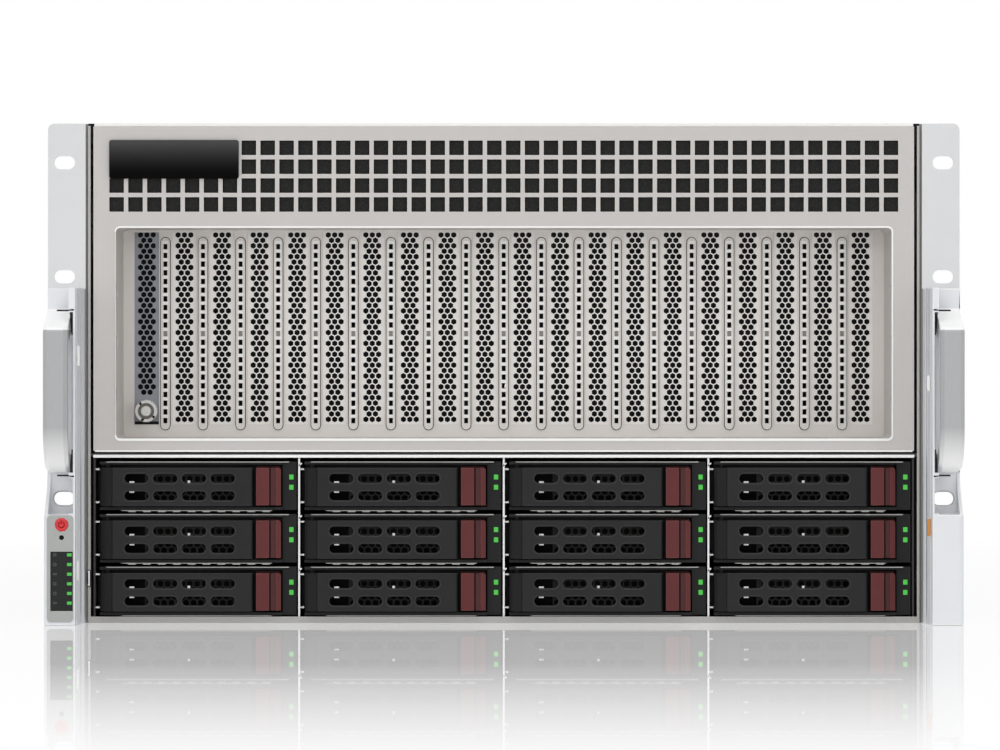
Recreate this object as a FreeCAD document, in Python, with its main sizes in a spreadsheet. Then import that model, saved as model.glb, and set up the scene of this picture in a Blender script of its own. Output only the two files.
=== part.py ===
"""GPU server, six rack units high: GPU section above, twelve drive bays below.

Frame: +X to the right seen from the front, +Y into the rack, +Z up.  Pieces are drawn with
y = 0 on the rack plane (front face of the ears) and z = 0 under the floor of the chassis.
Each node is then shifted along Y so that the origin lies under the middle of the whole part.
"""
import FreeCAD, Part
import math
import os
import Sketcher

DIMENSIONS = {
    # rack interface: 19 inch panel, six units of 44.45 mm less clearance
    "rack_width": 482.6,
    "ear_slot_spacing": 465.1,
    "ear_slot_length": 11.0,
    "ear_slot_width": 7.0,
    "ear_slot_high": 243.7,
    "ear_slot_middle": 183.35,
    "ear_slot_low": 65.9,
    "ear_thickness": 2.0,
    "ear_leg": 3.2,
    "ear_leg_depth": 60.0,
    "ear_seam": 1.4,
    "ear_corner": 3.5,
    # chassis sheet metal
    "chassis_width": 440.0,
    "chassis_depth": 800.0,
    "chassis_height": 264.4,
    "sheet": 1.2,
    "front_lip": 3.4,
    "rail_hole_radius": 2.2,
    "rail_hole_first": 120.0,
    "rail_hole_pitch": 600.0,
    "rail_hole_height": 133.35,
    "cover_flange": 9.0,
    "cover_gap": 0.2,
    "bead_length": 300.0,
    "bead_width": 12.0,
    "bead_depth": 0.5,
    "bead_first": 300.0,
    "bead_pitch": 130.0,
    "bead_count": 4,
    # openings of the rear wall
    "port_left": -206.0,
    "port_right": -46.0,
    "port_low": 14.0,
    "port_high": 50.0,
    "vent_low": 58.0,
    "vent_high": 80.0,
    "rear_vent_width": 12.0,
    "rear_vent_pitch": 18.0,
    "rear_vents": 14,
    # front bezel with its square air grid
    "bezel_width": 434.4,
    "bezel_bottom": 91.1,
    "bezel_top": 262.9,
    "bezel_plate": 2.0,
    "bezel_flange": 14.0,
    "bezel_lip": 1.5,
    "bezel_tab_start": 6.0,
    "bezel_tab_length": 8.0,
    "bezel_tab_height": 12.0,
    "bezel_tab_low": 110.0,
    "bezel_tab_high": 230.0,
    "grid_pitch": 10.0,
    "grid_hole": 7.8,
    "grid_columns": 42,
    "grid_bottom": 217.7,
    "plate_columns": 7,
    # window and recessed slot panel
    "window_width": 411.2,
    "window_bottom": 97.7,
    "window_top": 209.6,
    "window_corner": 2.5,
    "recess_depth": 60.0,
    "pan_foot_left": 180.0,
    "pan_foot_width": 20.0,
    "pan_foot_start": 50.0,
    "slot_pitch": 20.32,
    "slot_count": 20,
    "slot_opening": 13.2,
    "slot_bottom": 104.5,
    "rib_width": 4.8,
    "rib_bottom": 101.8,
    "rib_top": 205.5,
    "rib_reach": 2.0,
    "cover_width": 18.4,
    "cover_thickness": 1.0,
    "screw_height": 111.8,
    "cover_overlap": 4.0,
    "screw_hole_radius": 2.1,
    "screw_head_radius": 5.9,
    "screw_head": 7.0,
    "screw_knob_radius": 2.8,
    "screw_knob": 1.5,
    "screw_tail": 3.0,
    # drive cage
    "bay_width": 108.4,
    "bay_height": 27.85,
    "bay_columns": 4,
    "bay_rows": 3,
    "low_row": 16.95,
    "divider": 1.0,
    "guide_reach": 2.6,
    "guide_offset": 8.75,
    "guide_thickness": 0.9,
    "guide_start": 3.0,
    "guide_tail_start": 18.0,
    "divider_setback": 2.0,
    "cage_depth": 178.0,
    "shelf_bottom": 88.2,
    "shelf_thickness": 1.6,
    "shelf_depth": 420.0,
    "shelf_gap": 0.2,
    "shelf_setback": 0.5,
    # board behind the drives, measured from the divider on the left and the middle of a row
    "backplane_gap": 1.0,
    "backplane_vent_left": 20.0,
    "backplane_vent_right": 90.0,
    "backplane_vent_low": 3.0,
    "backplane_vent_high": 10.0,
    "plug_left": 58.0,
    "plug_right": 96.0,
    "plug_low": -9.0,
    "plug_high": -4.0,
    "plug_gap": 0.2,
    # drive tray, measured from the middle of the divider on its left
    "frame_left": 2.9,
    "frame_right": 107.1,
    "frame_half_height": 12.85,
    "frame_bar": 1.65,
    "frame_depth": 16.0,
    "frame_floor": 11.0,
    "light_strip_left": 99.6,
    "light_strip_setback": 2.0,
    "runner_half_height": 7.9,
    "frame_air_half": 8.0,
    "frame_air_margin": 8.0,
    "runner": 2.4,
    "runner_gap": 0.4,
    "runner_root": 0.5,
    "runner_tail": 2.0,
    "runner_start": 12.0,
    "drive_length": 147.0,
    "drive_width": 101.4,
    "drive_height": 25.4,
    "drive_start": 24.0,
    # lever, hinge and release tab of a tray
    "lever_right": 84.0,
    "lever_half_height": 10.7,
    "lever_wall": 2.4,
    "lever_rim": 1.5,
    "lever_web": 1.0,
    "lever_nose": 2.0,
    "hinge_inset": 7.0,
    "hinge_depth": 1.0,
    "barrel_radius": 4.0,
    "pin_radius": 1.25,
    "running_gap": 0.05,
    "vent_start": 16.0,
    "vent_length": 12.9,
    "vent_height": 4.9,
    "vent_pitch": 15.2,
    "vent_row_pitch": 9.2,
    "vent_columns": 4,
    "tab_left": 85.8,
    "tab_right": 98.8,
    "tab_half_height": 10.3,
    "tab_groove": 0.6,
    "tab_step": 0.2,
    "tab_slope": 2.2,
    "tab_stem": 4.0,
    "stem_half_height": 3.0,
    "stem_gap": 0.2,
    "stem_end_gap": 2.0,
    "light_width": 2.3,
    "light_height": 2.6,
    "light_middle": 104.3,
    "light_high": 4.6,
    "light_low": -0.8,
    "light_stand": 0.6,
    # cast handles on the ears
    "handle_reach": 38.0,
    "handle_bar": 12.7,
    "handle_top": 167.0,
    "handle_bottom": 80.0,
    "handle_thickness": 9.5,
    "grip_inset": 0.4,
    "grip_bend": 24.0,
    "grip_lean": 1.5,
    "grip_shoulder": 11.0,
    "grip_brow": 13.0,
    "grip_gap_drop": 2.0,
    "grip_gap_slope": 9.0,
    "casting_height": 177.0,
    "casting_plate": 3.0,
    "module_reach": 27.0,
    "module_height": 58.0,
    "module_inner": 224.8,
    "module_corner": 2.5,
    "rail_step": 1.4,
    "rail_wall": 3.4,
    "rail_low_reach": 8.1,
    "rail_high_reach": 16.74,
    "rim_width": 1.8,
    "rim_bulge": 3.0,
    "rim_drop": 8.0,
    "rim_setback": 4.0,
    "slot_clearance": 0.8,
    "bar_bevel": 2.0,
    "power_height": 52.8,
    "power_radius": 3.45,
    "reset_height": 46.0,
    "reset_radius": 1.25,
    "button_stand": 1.0,
    "button_bevel": 0.5,
    "button_length": 10.0,
    "button_room": 2.0,
    "control_middle": 231.9,
    "status_width": 11.8,
    "status_bottom": 7.5,
    "status_top": 38.7,
    "status_plate": 1.5,
    "status_light_width": 2.4,
    "status_light_height": 1.6,
    "status_light_stand": 0.2,
    "status_light_first": 3.4,
    "status_light_inset": 0.6,
    "status_light_pitch": 5.06,
    "status_light_count": 6,
    # fans at the upper rear
    "fan_size": 120.0,
    "fan_depth": 38.0,
    "fan_bore": 57.0,
    "fan_pitch": 136.0,
    "fan_height": 176.0,
    "fan_hub": 20.0,
    "fan_shaft": 3.0,
    "fan_opening": 112.0,
    "fan_strut": 12.0,
    "fan_strut_depth": 6.0,
    "fan_blades": 7,
    "fan_tip_gap": 3.4,
    "rotor_setback": 3.0,
    "rotor_gap": 1.0,
    "blade_root": 12.0,
    "blade_half_depth": 11.0,
    "blade_half_sweep": 12.0,
    "blade_thickness": 1.6,
    # power supplies at the lower rear
    "supply_width": 73.5,
    "supply_height": 40.0,
    "supply_length": 265.0,
    "supply_first": 98.0,
    "supply_pitch": 78.5,
    "supply_floor": 1.4,
    "supply_tier": 41.7,
    "supply_grip": 26.0,
    "supply_gap": 0.4,
    "deck_thickness": 0.8,
    "deck_gap": 0.2,
    "grip_bar": 5.0,
    "grip_bevel": 6.0,
    "grip_left": 22.0,
    "grip_width": 9.0,
    "grip_margin": 4.0,
    "inlet_left": -33.0,
    "inlet_low": 8.0,
    "inlet_side": 24.0,
    "inlet_depth": 16.0,
    "inlet_pin": 13.0,
    "inlet_pin_width": 2.0,
    "inlet_pin_height": 6.0,
    "inlet_pin_side": 5.0,
    "inlet_pin_low": 4.0,
    "inlet_pin_high": 13.0,
    "supply_vent_left": -4.0,
    "supply_vent_width": 2.0,
    "supply_vent_low": 6.0,
    "supply_vent_depth": 6.0,
    "supply_vent_pitch": 4.5,
    "supply_vents": 6,
    # boards and cards
    "card_length": 268.0,
    "card_height": 111.0,
    "card_width": 38.0,
    "card_start": 67.0,
    "card_bevel": 4.0,
    "card_count": 10,
    "card_board": 2.0,
    "card_board_half": 205.0,
    "card_board_margin": 5.0,
    "board": 1.6,
    "board_stand": 6.0,
    "board_left": -212.0,
    "board_right": 52.0,
    "board_near": 380.0,
    "board_far": 780.0,
    "post_inset": 9.0,
    "post_side": 6.0,
    "post_pitch": 120.0,
    "post_row_pitch": 180.0,
    "post_count": 3,
    "sink_left": -180.0,
    "sink_near": 480.0,
    "sink_width": 80.0,
    "sink_length": 100.0,
    "sink_base": 8.0,
    "sink_pitch": 120.0,
    "fin": 1.0,
    "fin_height": 52.0,
    "fin_count": 10,
    "stick_near": 465.0,
    "stick_length": 130.0,
    "stick_width": 3.0,
    "stick_height": 32.0,
    "outer_stick_left": -204.0,
    "outer_stick_pitch": 7.0,
    "outer_sticks": 3,
    "inner_stick_left": -94.0,
    "inner_stick_pitch": 9.0,
    "inner_sticks": 4,
    "rear_port_left": -200.0,
    "rear_port_width": 16.0,
    "rear_port_height": 14.0,
    "rear_port_overlap": 14.0,
    "rear_port_pitch": 22.0,
    "rear_ports": 7,
}

doc = FreeCAD.newDocument("gpu_server")
sheet = doc.addObject("Spreadsheet::Sheet", "Dimensions")
for row, (alias, number) in enumerate(DIMENSIONS.items(), start=1):
    sheet.set(f"A{row}", alias)
    sheet.set(f"B{row}", str(number))
    sheet.setAlias(f"B{row}", alias)
doc.recompute()


class Size:
    """A length that knows its value and the sheet formula that gives it."""

    def __init__(self, value, text):
        self.value = value
        self.text = text

    def __add__(self, other):
        other = as_size(other)
        return Size(self.value + other.value, f"({self.text} + {other.text})")

    def __sub__(self, other):
        other = as_size(other)
        return Size(self.value - other.value, f"({self.text} - {other.text})")

    def __mul__(self, other):
        other = as_size(other)
        return Size(self.value * other.value, f"({self.text} * {other.text})")

    def __truediv__(self, other):
        other = as_size(other)
        return Size(self.value / other.value, f"({self.text} / {other.text})")

    def __radd__(self, other):
        return as_size(other) + self

    def __rsub__(self, other):
        return as_size(other) - self

    def __rmul__(self, other):
        return as_size(other) * self

    def __neg__(self):
        return Size(-self.value, f"(-1 * {self.text})")


def as_size(number):
    return number if isinstance(number, Size) else Size(float(number), f"({float(number)!r})")


class Sheet:
    """Reads a driving dimension by name, as a Size."""

    def __getattr__(self, alias):
        return Size(float(DIMENSIONS[alias]), f"Dimensions.{alias}")


S = Sheet()


def bind(item, name, size):
    item.setExpression(name, as_size(size).text)


def new_body(name):
    return doc.addObject("PartDesign::Body", name)


def new_sketch(body, name, plane, offset=0):
    """Sketch on an origin plane; offset is the distance along +X, +Y or +Z from that plane."""
    sketch = body.newObject("Sketcher::SketchObject", name)
    role = next(f for f in body.Origin.OriginFeatures if f.Role == plane + "_Plane")
    sketch.AttachmentSupport = [(role, "")]
    sketch.MapMode = "FlatFace"
    shift = -as_size(offset) if plane == "XZ" else as_size(offset)
    sketch.setExpression("AttachmentOffset.Base.z", shift.text)
    return sketch


def place_point(sketch, index, end, point, axes=(0, 1)):
    for axis in axes:
        size = as_size(point[axis])
        kind = ("DistanceX", "DistanceY")[axis]
        number = sketch.addConstraint(Sketcher.Constraint(kind, -1, 1, index, end, size.value))
        sketch.setExpression(f"Constraints[{number}]", size.text)


def draw_loop(sketch, corners):
    """Closed outline.  A corner is (u, v), or (u, v, (cu, cv), turn) where the edge that leaves it
    is an arc about (cu, cv), anticlockwise for turn = 1 and clockwise for turn = -1."""
    count = len(corners)
    flat = [FreeCAD.Vector(as_size(c[0]).value, as_size(c[1]).value, 0) for c in corners]
    ends = []
    for number, corner in enumerate(corners):
        start, stop = flat[number], flat[(number + 1) % count]
        if len(corner) == 2:
            index = sketch.addGeometry(Part.LineSegment(start, stop), False)
            ends.append((index, 1, 2))
            continue
        middle = FreeCAD.Vector(as_size(corner[2][0]).value, as_size(corner[2][1]).value, 0)
        first, last = (start, stop) if corner[3] == 1 else (stop, start)
        angles = [math.atan2(p.y - middle.y, p.x - middle.x) for p in (first, last)]
        circle = Part.Circle(middle, FreeCAD.Vector(0, 0, 1), (start - middle).Length)
        index = sketch.addGeometry(Part.ArcOfCircle(circle, *angles), False)
        ends.append((index, 1, 2) if corner[3] == 1 else (index, 2, 1))
    for number, corner in enumerate(corners):
        index, head, tail = ends[number]
        following, next_head, next_tail = ends[(number + 1) % count]
        sketch.addConstraint(Sketcher.Constraint("Coincident", index, tail, following, next_head))
        place_point(sketch, index, head, corner)
        if len(corner) > 2:
            span = flat[(number + 1) % count] - flat[number]
            place_point(sketch, index, 3, corner[2], (0,) if abs(span.x) < abs(span.y) else (1,))


def rectangle(left, low, right, high):
    return [(left, low), (right, low), (right, high), (left, high)]


def rounded_rectangle(left, low, right, high, radius):
    return [
        (left + radius, low),
        (right - radius, low, (right - radius, low + radius), 1),
        (right, low + radius),
        (right, high - radius, (right - radius, high - radius), 1),
        (right - radius, high),
        (left + radius, high, (left + radius, high - radius), 1),
        (left, high - radius),
        (left, low + radius, (left + radius, low + radius), 1),
    ]


def faceted_slot(low, high, middle, width, flats=3):
    """Long slot along the first axis; each round end is drawn with a few flats."""
    radius = width / 2
    corners = []
    for centre, begin in ((high - radius, -90), (low + radius, 90)):
        for step in range(flats + 1):
            angle = math.radians(begin + 180 * step / flats)
            corners.append((centre + radius * math.cos(angle), middle + radius * math.sin(angle)))
    return corners


def stood_up(corners):
    """The same outline with its two axes exchanged."""
    return [(v, u) for u, v in corners]


def polygon(middle, radius, sides):
    """Regular outline whose corners lie on the circle."""
    steps = [2 * math.pi * (step + 0.5) / sides for step in range(sides)]
    return [
        (middle[0] + radius * math.cos(angle), middle[1] + radius * math.sin(angle)) for angle in steps
    ]


def around(middle, radius, sides):
    """Regular outline whose flats touch the circle, for a bore that a round piece turns in."""
    return polygon(middle, radius / math.cos(math.pi / sides), sides)


def level_slot(left, right, middle, height):
    half = height / 2
    return [
        (left + half, middle - half),
        (right - half, middle - half, (right - half, middle), 1),
        (right - half, middle + half),
        (left + half, middle + half, (left + half, middle), 1),
    ]


def draw_circle(sketch, middle, radius):
    middle = [as_size(m) for m in middle]
    centre = FreeCAD.Vector(middle[0].value, middle[1].value, 0)
    circle = Part.Circle(centre, FreeCAD.Vector(0, 0, 1), as_size(radius).value)
    index = sketch.addGeometry(circle, False)
    place_point(sketch, index, 3, middle)
    number = sketch.addConstraint(Sketcher.Constraint("Radius", index, as_size(radius).value))
    sketch.setExpression(f"Constraints[{number}]", as_size(radius).text)


def outline(body, name, plane, loops, offset=0):
    """Sketch of one or more closed loops; a loop given as (middle, radius) is a circle."""
    sketch = new_sketch(body, name, plane, offset)
    for loop in loops:
        if len(loop) == 2:
            draw_circle(sketch, *loop)
        else:
            draw_loop(sketch, loop)
    doc.recompute()
    return sketch


def pad(body, sketch, length, forward=False):
    """Raise a sketch towards +X, +Y or +Z, or the other way with forward=True."""
    feature = body.newObject("PartDesign::Pad", sketch.Name + "_pad")
    feature.Profile = sketch
    bind(feature, "Length", length)
    from_front = sketch.AttachmentSupport[0][0].Role == "XZ_Plane"
    feature.Reversed = from_front != forward
    body.Tip = feature
    doc.recompute()
    return feature


def pocket(body, sketch, length, forward=False):
    """Cut a sketch towards +X, +Y or +Z, or the other way with forward=True."""
    before = body.Shape.Volume
    feature = body.newObject("PartDesign::Pocket", sketch.Name + "_cut")
    feature.Profile = sketch
    bind(feature, "Length", length)
    from_front = sketch.AttachmentSupport[0][0].Role == "XZ_Plane"
    feature.Reversed = from_front == forward
    body.Tip = feature
    doc.recompute()
    if not body.Shape.Volume < before - 1e-6:
        raise ValueError(f"{sketch.Name} cuts nothing")
    return feature


def repeat(body, feature, axis, spacing, count, second=None):
    """Row of copies along the sketch's H_Axis or V_Axis; second = (axis, spacing, count)."""
    pattern = body.newObject("PartDesign::LinearPattern", feature.Name + "_row")
    pattern.Originals = [feature]
    pattern.Direction = (feature.Profile[0], [axis])
    bind(pattern, "Length", spacing * (as_size(count) - 1))
    bind(pattern, "Occurrences", count)
    if second:
        pattern.Direction2 = (feature.Profile[0], [second[0]])
        bind(pattern, "Length2", second[1] * (as_size(second[2]) - 1))
        bind(pattern, "Occurrences2", second[2])
    body.Tip = pattern
    doc.recompute()
    return pattern


def turn(body, name, profile):
    """Solid of revolution about the Y axis; the profile is (radius, y) corners."""
    sketch = outline(body, name, "XY", [profile])
    feature = body.newObject("PartDesign::Revolution", name + "_turned")
    feature.Profile = sketch
    feature.ReferenceAxis = (sketch, ["V_Axis"])
    feature.Angle = 360
    body.Tip = feature
    doc.recompute()
    return feature


def ease_edges(body, kind, size, wanted):
    """Fillet or Chamfer on every edge whose middle point and direction pass the test."""
    base = body.Tip
    names = []
    for number, edge in enumerate(base.Shape.Edges, start=1):
        if len(edge.Vertexes) < 2:
            continue
        first, last = (v.Point for v in (edge.Vertexes[0], edge.Vertexes[-1]))
        if wanted((first + last) * 0.5, (last - first)):
            names.append(f"Edge{number}")
    feature = body.newObject("PartDesign::" + kind, body.Name + f"_eased{len(body.Group)}")
    feature.Base = (base, names)
    bind(feature, {"Fillet": "Radius", "Chamfer": "Size"}[kind], size)
    body.Tip = feature
    doc.recompute()
    return feature


NODES = {}
SHIFT_BACK = (S.handle_reach - S.chassis_depth - S.supply_grip) / 2


def node(name, pieces, x=0, y=0, z=0):
    """Named sub-part: its pieces, moved from the rack plane into the frame of the part."""
    item = doc.addObject("Part::Compound", name)
    item.Label = name
    item.Links = pieces
    for axis, size in zip("xyz", (x, SHIFT_BACK + y, z)):
        item.setExpression(f"Placement.Base.{axis}", as_size(size).text)
    NODES[name] = item


def mirrored(name, source):
    """Right hand twin of a left hand piece."""
    twin = doc.addObject("Part::Mirroring", name)
    twin.Source = source
    twin.Normal = FreeCAD.Vector(1, 0, 0)
    return twin


HALF = S.chassis_width / 2
FLOOR_TOP = S.sheet
ROOF_UNDER = S.chassis_height - S.sheet
CELL_LEFT = S.bay_width * S.bay_columns / -2
FIRST_SLOT = (1 - S.slot_count) * S.slot_pitch / 2
STEM_LEFT = S.tab_left + S.tab_stem
STATUS_LEFT = -S.control_middle - S.status_width / 2
FAN_COUNT = 3
FAN_REAR = S.chassis_depth - S.sheet
PIN_SIDES = 8
HEAD_SIDES = 24
FAN_SIDES = 24
HUB_SIDES = 14
CLOSE = 0.1
BARREL_FLATS = 6
SUPPLY_X = [S.supply_first + column * S.supply_pitch for column in range(2)]
SUPPLY_Z = [S.supply_floor + tier * S.supply_tier for tier in range(2)]


def chassis_base():
    """Folded pan: floor, side walls and rear wall with fan, supply, port and air openings."""
    body = new_body("chassis_pan")
    profile = [
        (-HALF, 0), (HALF, 0), (HALF, ROOF_UNDER), (HALF - S.sheet, ROOF_UNDER),
        (HALF - S.sheet, FLOOR_TOP), (S.sheet - HALF, FLOOR_TOP), (S.sheet - HALF, ROOF_UNDER),
        (-HALF, ROOF_UNDER),
    ]
    pad(body, outline(body, "pan_profile", "XZ", [profile]), S.chassis_depth)
    lip = rectangle(-HALF, 0, HALF, S.front_lip)
    pad(body, outline(body, "pan_lip", "XZ", [lip]), S.sheet)
    rear = S.chassis_depth - S.sheet
    wall = rectangle(-HALF, 0, HALF, ROOF_UNDER)
    pad(body, outline(body, "rear_wall", "XZ", [wall], rear), S.sheet)
    reach = S.fan_opening / 2
    fan = rectangle(
        -S.fan_pitch - reach, S.fan_height - reach, reach - S.fan_pitch, S.fan_height + reach
    )
    fan_cut = pocket(body, outline(body, "fan_opening", "XZ", [fan], rear), S.sheet)
    repeat(body, fan_cut, "H_Axis", S.fan_pitch, FAN_COUNT)
    half_width = S.supply_width / 2 + S.supply_gap
    bay = rectangle(
        SUPPLY_X[0] - half_width, SUPPLY_Z[0],
        SUPPLY_X[0] + half_width, SUPPLY_Z[0] + S.supply_height + S.supply_gap,
    )
    bay_cut = pocket(body, outline(body, "supply_bay", "XZ", [bay], rear), S.sheet)
    repeat(body, bay_cut, "H_Axis", S.supply_pitch, 2, ("V_Axis", S.supply_tier, 2))
    deck_top = SUPPLY_Z[1] - S.deck_gap
    deck = rectangle(SUPPLY_X[0] - half_width, deck_top - S.deck_thickness, HALF, deck_top)
    deck_start = S.chassis_depth - S.supply_length
    pad(body, outline(body, "supply_deck", "XZ", [deck], deck_start), S.supply_length)
    ports = rectangle(S.port_left, S.port_low, S.port_right, S.port_high)
    pocket(body, outline(body, "port_opening", "XZ", [ports], rear), S.sheet)
    vent = rectangle(S.port_left, S.vent_low, S.port_left + S.rear_vent_width, S.vent_high)
    vent_cut = pocket(body, outline(body, "rear_vent", "XZ", [vent], rear), S.sheet)
    repeat(body, vent_cut, "H_Axis", S.rear_vent_pitch, S.rear_vents)
    hole = ((S.rail_hole_first, S.rail_hole_height), S.rail_hole_radius)
    left_hole = pocket(body, outline(body, "rail_hole", "YZ", [hole], -HALF), S.sheet)
    repeat(body, left_hole, "H_Axis", S.rail_hole_pitch, 2)
    right_hole = pocket(body, outline(body, "far_rail_hole", "YZ", [hole], HALF - S.sheet), S.sheet)
    repeat(body, right_hole, "H_Axis", S.rail_hole_pitch, 2)
    node("chassis_base", [body])


def top_cover():
    """Lid with flanges folded down inside the side walls."""
    body = new_body("lid")
    outer = HALF - S.sheet - S.cover_gap
    inner = outer - S.sheet
    end = S.chassis_depth - S.sheet - S.cover_gap
    hem = ROOF_UNDER - S.cover_flange
    profile = [
        (-HALF, S.chassis_height), (-HALF, ROOF_UNDER), (-outer, ROOF_UNDER), (-outer, hem),
        (-inner, hem), (-inner, ROOF_UNDER), (inner, ROOF_UNDER), (inner, hem), (outer, hem),
        (outer, ROOF_UNDER), (HALF, ROOF_UNDER), (HALF, S.chassis_height),
    ]
    pad(body, outline(body, "lid_profile", "XZ", [profile]), end)
    tail = rectangle(-HALF, ROOF_UNDER, HALF, S.chassis_height)
    pad(body, outline(body, "lid_tail", "XZ", [tail], end), S.chassis_depth - end)
    bead = faceted_slot(S.bead_length / -2, S.bead_length / 2, S.bead_first, S.bead_width)
    beads = outline(body, "lid_bead", "XY", [bead], S.chassis_height)
    repeat(body, pocket(body, beads, S.bead_depth, True), "V_Axis", S.bead_pitch, S.bead_count)
    node("top_cover", [body])


def front_bezel():
    """Plate with the square air grid and the window; a flange with tabs that meet the side walls."""
    body = new_body("bezel_plate_body")
    half = S.bezel_width / 2
    plate = rectangle(-half, S.bezel_bottom, half, S.bezel_top)
    pad(body, outline(body, "bezel_face", "XZ", [plate]), S.bezel_plate)
    lip = S.bezel_lip
    inside = rectangle(lip - half, S.bezel_bottom + lip, half - lip, S.bezel_top - lip)
    pad(body, outline(body, "bezel_rim", "XZ", [plate, inside], S.bezel_plate), S.bezel_flange)
    wall = HALF - S.sheet
    tabs = [
        rectangle(left, low, right, low + S.bezel_tab_height)
        for low in (S.bezel_tab_low, S.bezel_tab_high)
        for left, right in ((-wall, lip - half), (half - lip, wall))
    ]
    tab_sketch = outline(body, "bezel_tabs", "XZ", tabs, S.bezel_tab_start)
    pad(body, tab_sketch, S.bezel_tab_length)
    window = rounded_rectangle(
        S.window_width / -2, S.window_bottom, S.window_width / 2, S.window_top, S.window_corner
    )
    pocket(body, outline(body, "bezel_window", "XZ", [window]), S.bezel_plate)
    left = (S.grid_pitch - S.grid_hole - S.grid_columns * S.grid_pitch) / 2
    first = rectangle(left, S.grid_bottom, left + S.grid_hole, S.grid_bottom + S.grid_hole)
    low_cut = pocket(body, outline(body, "grid_hole_low", "XZ", [first]), S.bezel_plate)
    two_rows = ("V_Axis", S.grid_pitch, 2)
    repeat(body, low_cut, "H_Axis", S.grid_pitch, S.grid_columns, two_rows)
    skip = left + S.plate_columns * S.grid_pitch
    lift = S.grid_bottom + 2 * S.grid_pitch
    upper = rectangle(skip, lift, skip + S.grid_hole, lift + S.grid_hole)
    high_cut = pocket(body, outline(body, "grid_hole_high", "XZ", [upper]), S.bezel_plate)
    repeat(body, high_cut, "H_Axis", S.grid_pitch, S.grid_columns - S.plate_columns, two_rows)
    node("front_bezel", [body])


def gpu_slot_panel():
    """Open box behind the window, on two feet; its back carries the card slots and the ribs between."""
    body = new_body("slot_pan")
    side = S.window_width / 2
    outer = rectangle(
        -(side + S.sheet), S.window_bottom - S.sheet, side + S.sheet, S.window_top + S.sheet
    )
    inner = rounded_rectangle(-side, S.window_bottom, side, S.window_top, S.window_corner)
    walls = outline(body, "pan_walls", "XZ", [outer, inner], S.bezel_plate)
    pad(body, walls, S.recess_depth - S.bezel_plate)
    back = S.recess_depth + S.sheet
    pad(body, outline(body, "pan_back", "XZ", [outer], S.recess_depth), S.sheet)
    shelf_top = S.shelf_bottom + S.shelf_thickness
    inner_edge, outer_edge = S.pan_foot_left, S.pan_foot_left + S.pan_foot_width
    feet = [
        rectangle(left, shelf_top, right, S.window_bottom - S.sheet)
        for left, right in ((-outer_edge, -inner_edge), (inner_edge, outer_edge))
    ]
    feet_sketch = outline(body, "pan_feet", "XZ", feet, S.pan_foot_start)
    pad(body, feet_sketch, back - S.pan_foot_start)
    half = S.slot_opening / 2
    opening = rectangle(FIRST_SLOT - half, S.slot_bottom, FIRST_SLOT + half, S.window_top - S.sheet)
    cut = pocket(body, outline(body, "card_slot", "XZ", [opening], S.recess_depth), S.sheet)
    repeat(body, cut, "H_Axis", S.slot_pitch, S.slot_count)
    middle = FIRST_SLOT + S.slot_pitch / 2
    rib = stood_up(faceted_slot(S.rib_bottom, S.rib_top, middle, S.rib_width))
    rib_pad = pad(body, outline(body, "rib", "XZ", [rib], S.recess_depth), S.rib_reach, True)
    repeat(body, rib_pad, "H_Axis", S.slot_pitch, S.slot_count - 1)
    node("gpu_slot_panel", [body])


def slot_covers():
    """Twenty covers behind the card slots; the first has a hole for its captive screw."""
    body = new_body("cover_strips")
    half = S.cover_width / 2
    start = S.recess_depth + S.sheet
    strip = rectangle(
        FIRST_SLOT - half, S.slot_bottom - S.cover_overlap, FIRST_SLOT + half, S.window_top
    )
    strip_pad = pad(body, outline(body, "cover_strip", "XZ", [strip], start), S.cover_thickness)
    repeat(body, strip_pad, "H_Axis", S.slot_pitch, S.slot_count)
    hole = around((FIRST_SLOT, S.screw_height), S.screw_hole_radius, PIN_SIDES)
    pocket(body, outline(body, "screw_hole", "XZ", [hole], start), S.cover_thickness)
    node("slot_covers", [body])

    screw = new_body("thumbscrew")
    shank = S.screw_hole_radius - S.running_gap
    face = start - S.screw_head
    tip = start + S.cover_thickness + S.screw_tail
    steps = (
        ("knob", S.screw_knob_radius, face - S.screw_knob, S.screw_knob, PIN_SIDES),
        ("head", S.screw_head_radius, face, S.screw_head, HEAD_SIDES),
        ("shank", shank, start, tip - start, PIN_SIDES),
    )
    for label, radius, begin, length, sides in steps:
        section = polygon((0, 0), radius, sides)
        pad(screw, outline(screw, f"screw_{label}", "XZ", [section], begin), length)
    node("captive_thumbscrew", [screw], FIRST_SLOT, 0, S.screw_height)


def rack_ears():
    """Angle brackets on the side walls, slotted for the rack posts."""
    body = new_body("left_ear")
    edge = S.rack_width / -2
    seam = -HALF - S.ear_seam
    leg = -HALF - S.ear_leg
    profile = [
        (-HALF, S.ear_leg), (seam, S.ear_leg), (seam, 0), (edge, 0), (edge, S.ear_thickness),
        (leg, S.ear_thickness), (leg, S.ear_leg_depth), (-HALF, S.ear_leg_depth),
    ]
    pad(body, outline(body, "ear_profile", "XY", [profile]), S.chassis_height)
    far, top = edge.value, S.chassis_height.value
    ease_edges(
        body, "Fillet", S.ear_corner,
        lambda p, d: abs(p.x - far) < CLOSE and abs(p.z - top) < CLOSE and abs(d.x) < CLOSE,
    )
    middle = S.ear_slot_spacing / -2
    half = S.ear_slot_length / 2
    for label, height in (
        ("high", S.ear_slot_high), ("middle", S.ear_slot_middle), ("low", S.ear_slot_low)
    ):
        slot = level_slot(middle - half, middle + half, height, S.ear_slot_width)
        pocket(body, outline(body, f"ear_slot_{label}", "XZ", [slot]), S.ear_thickness)
    node("rack_ears", [body, mirrored("right_ear", body)])


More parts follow.
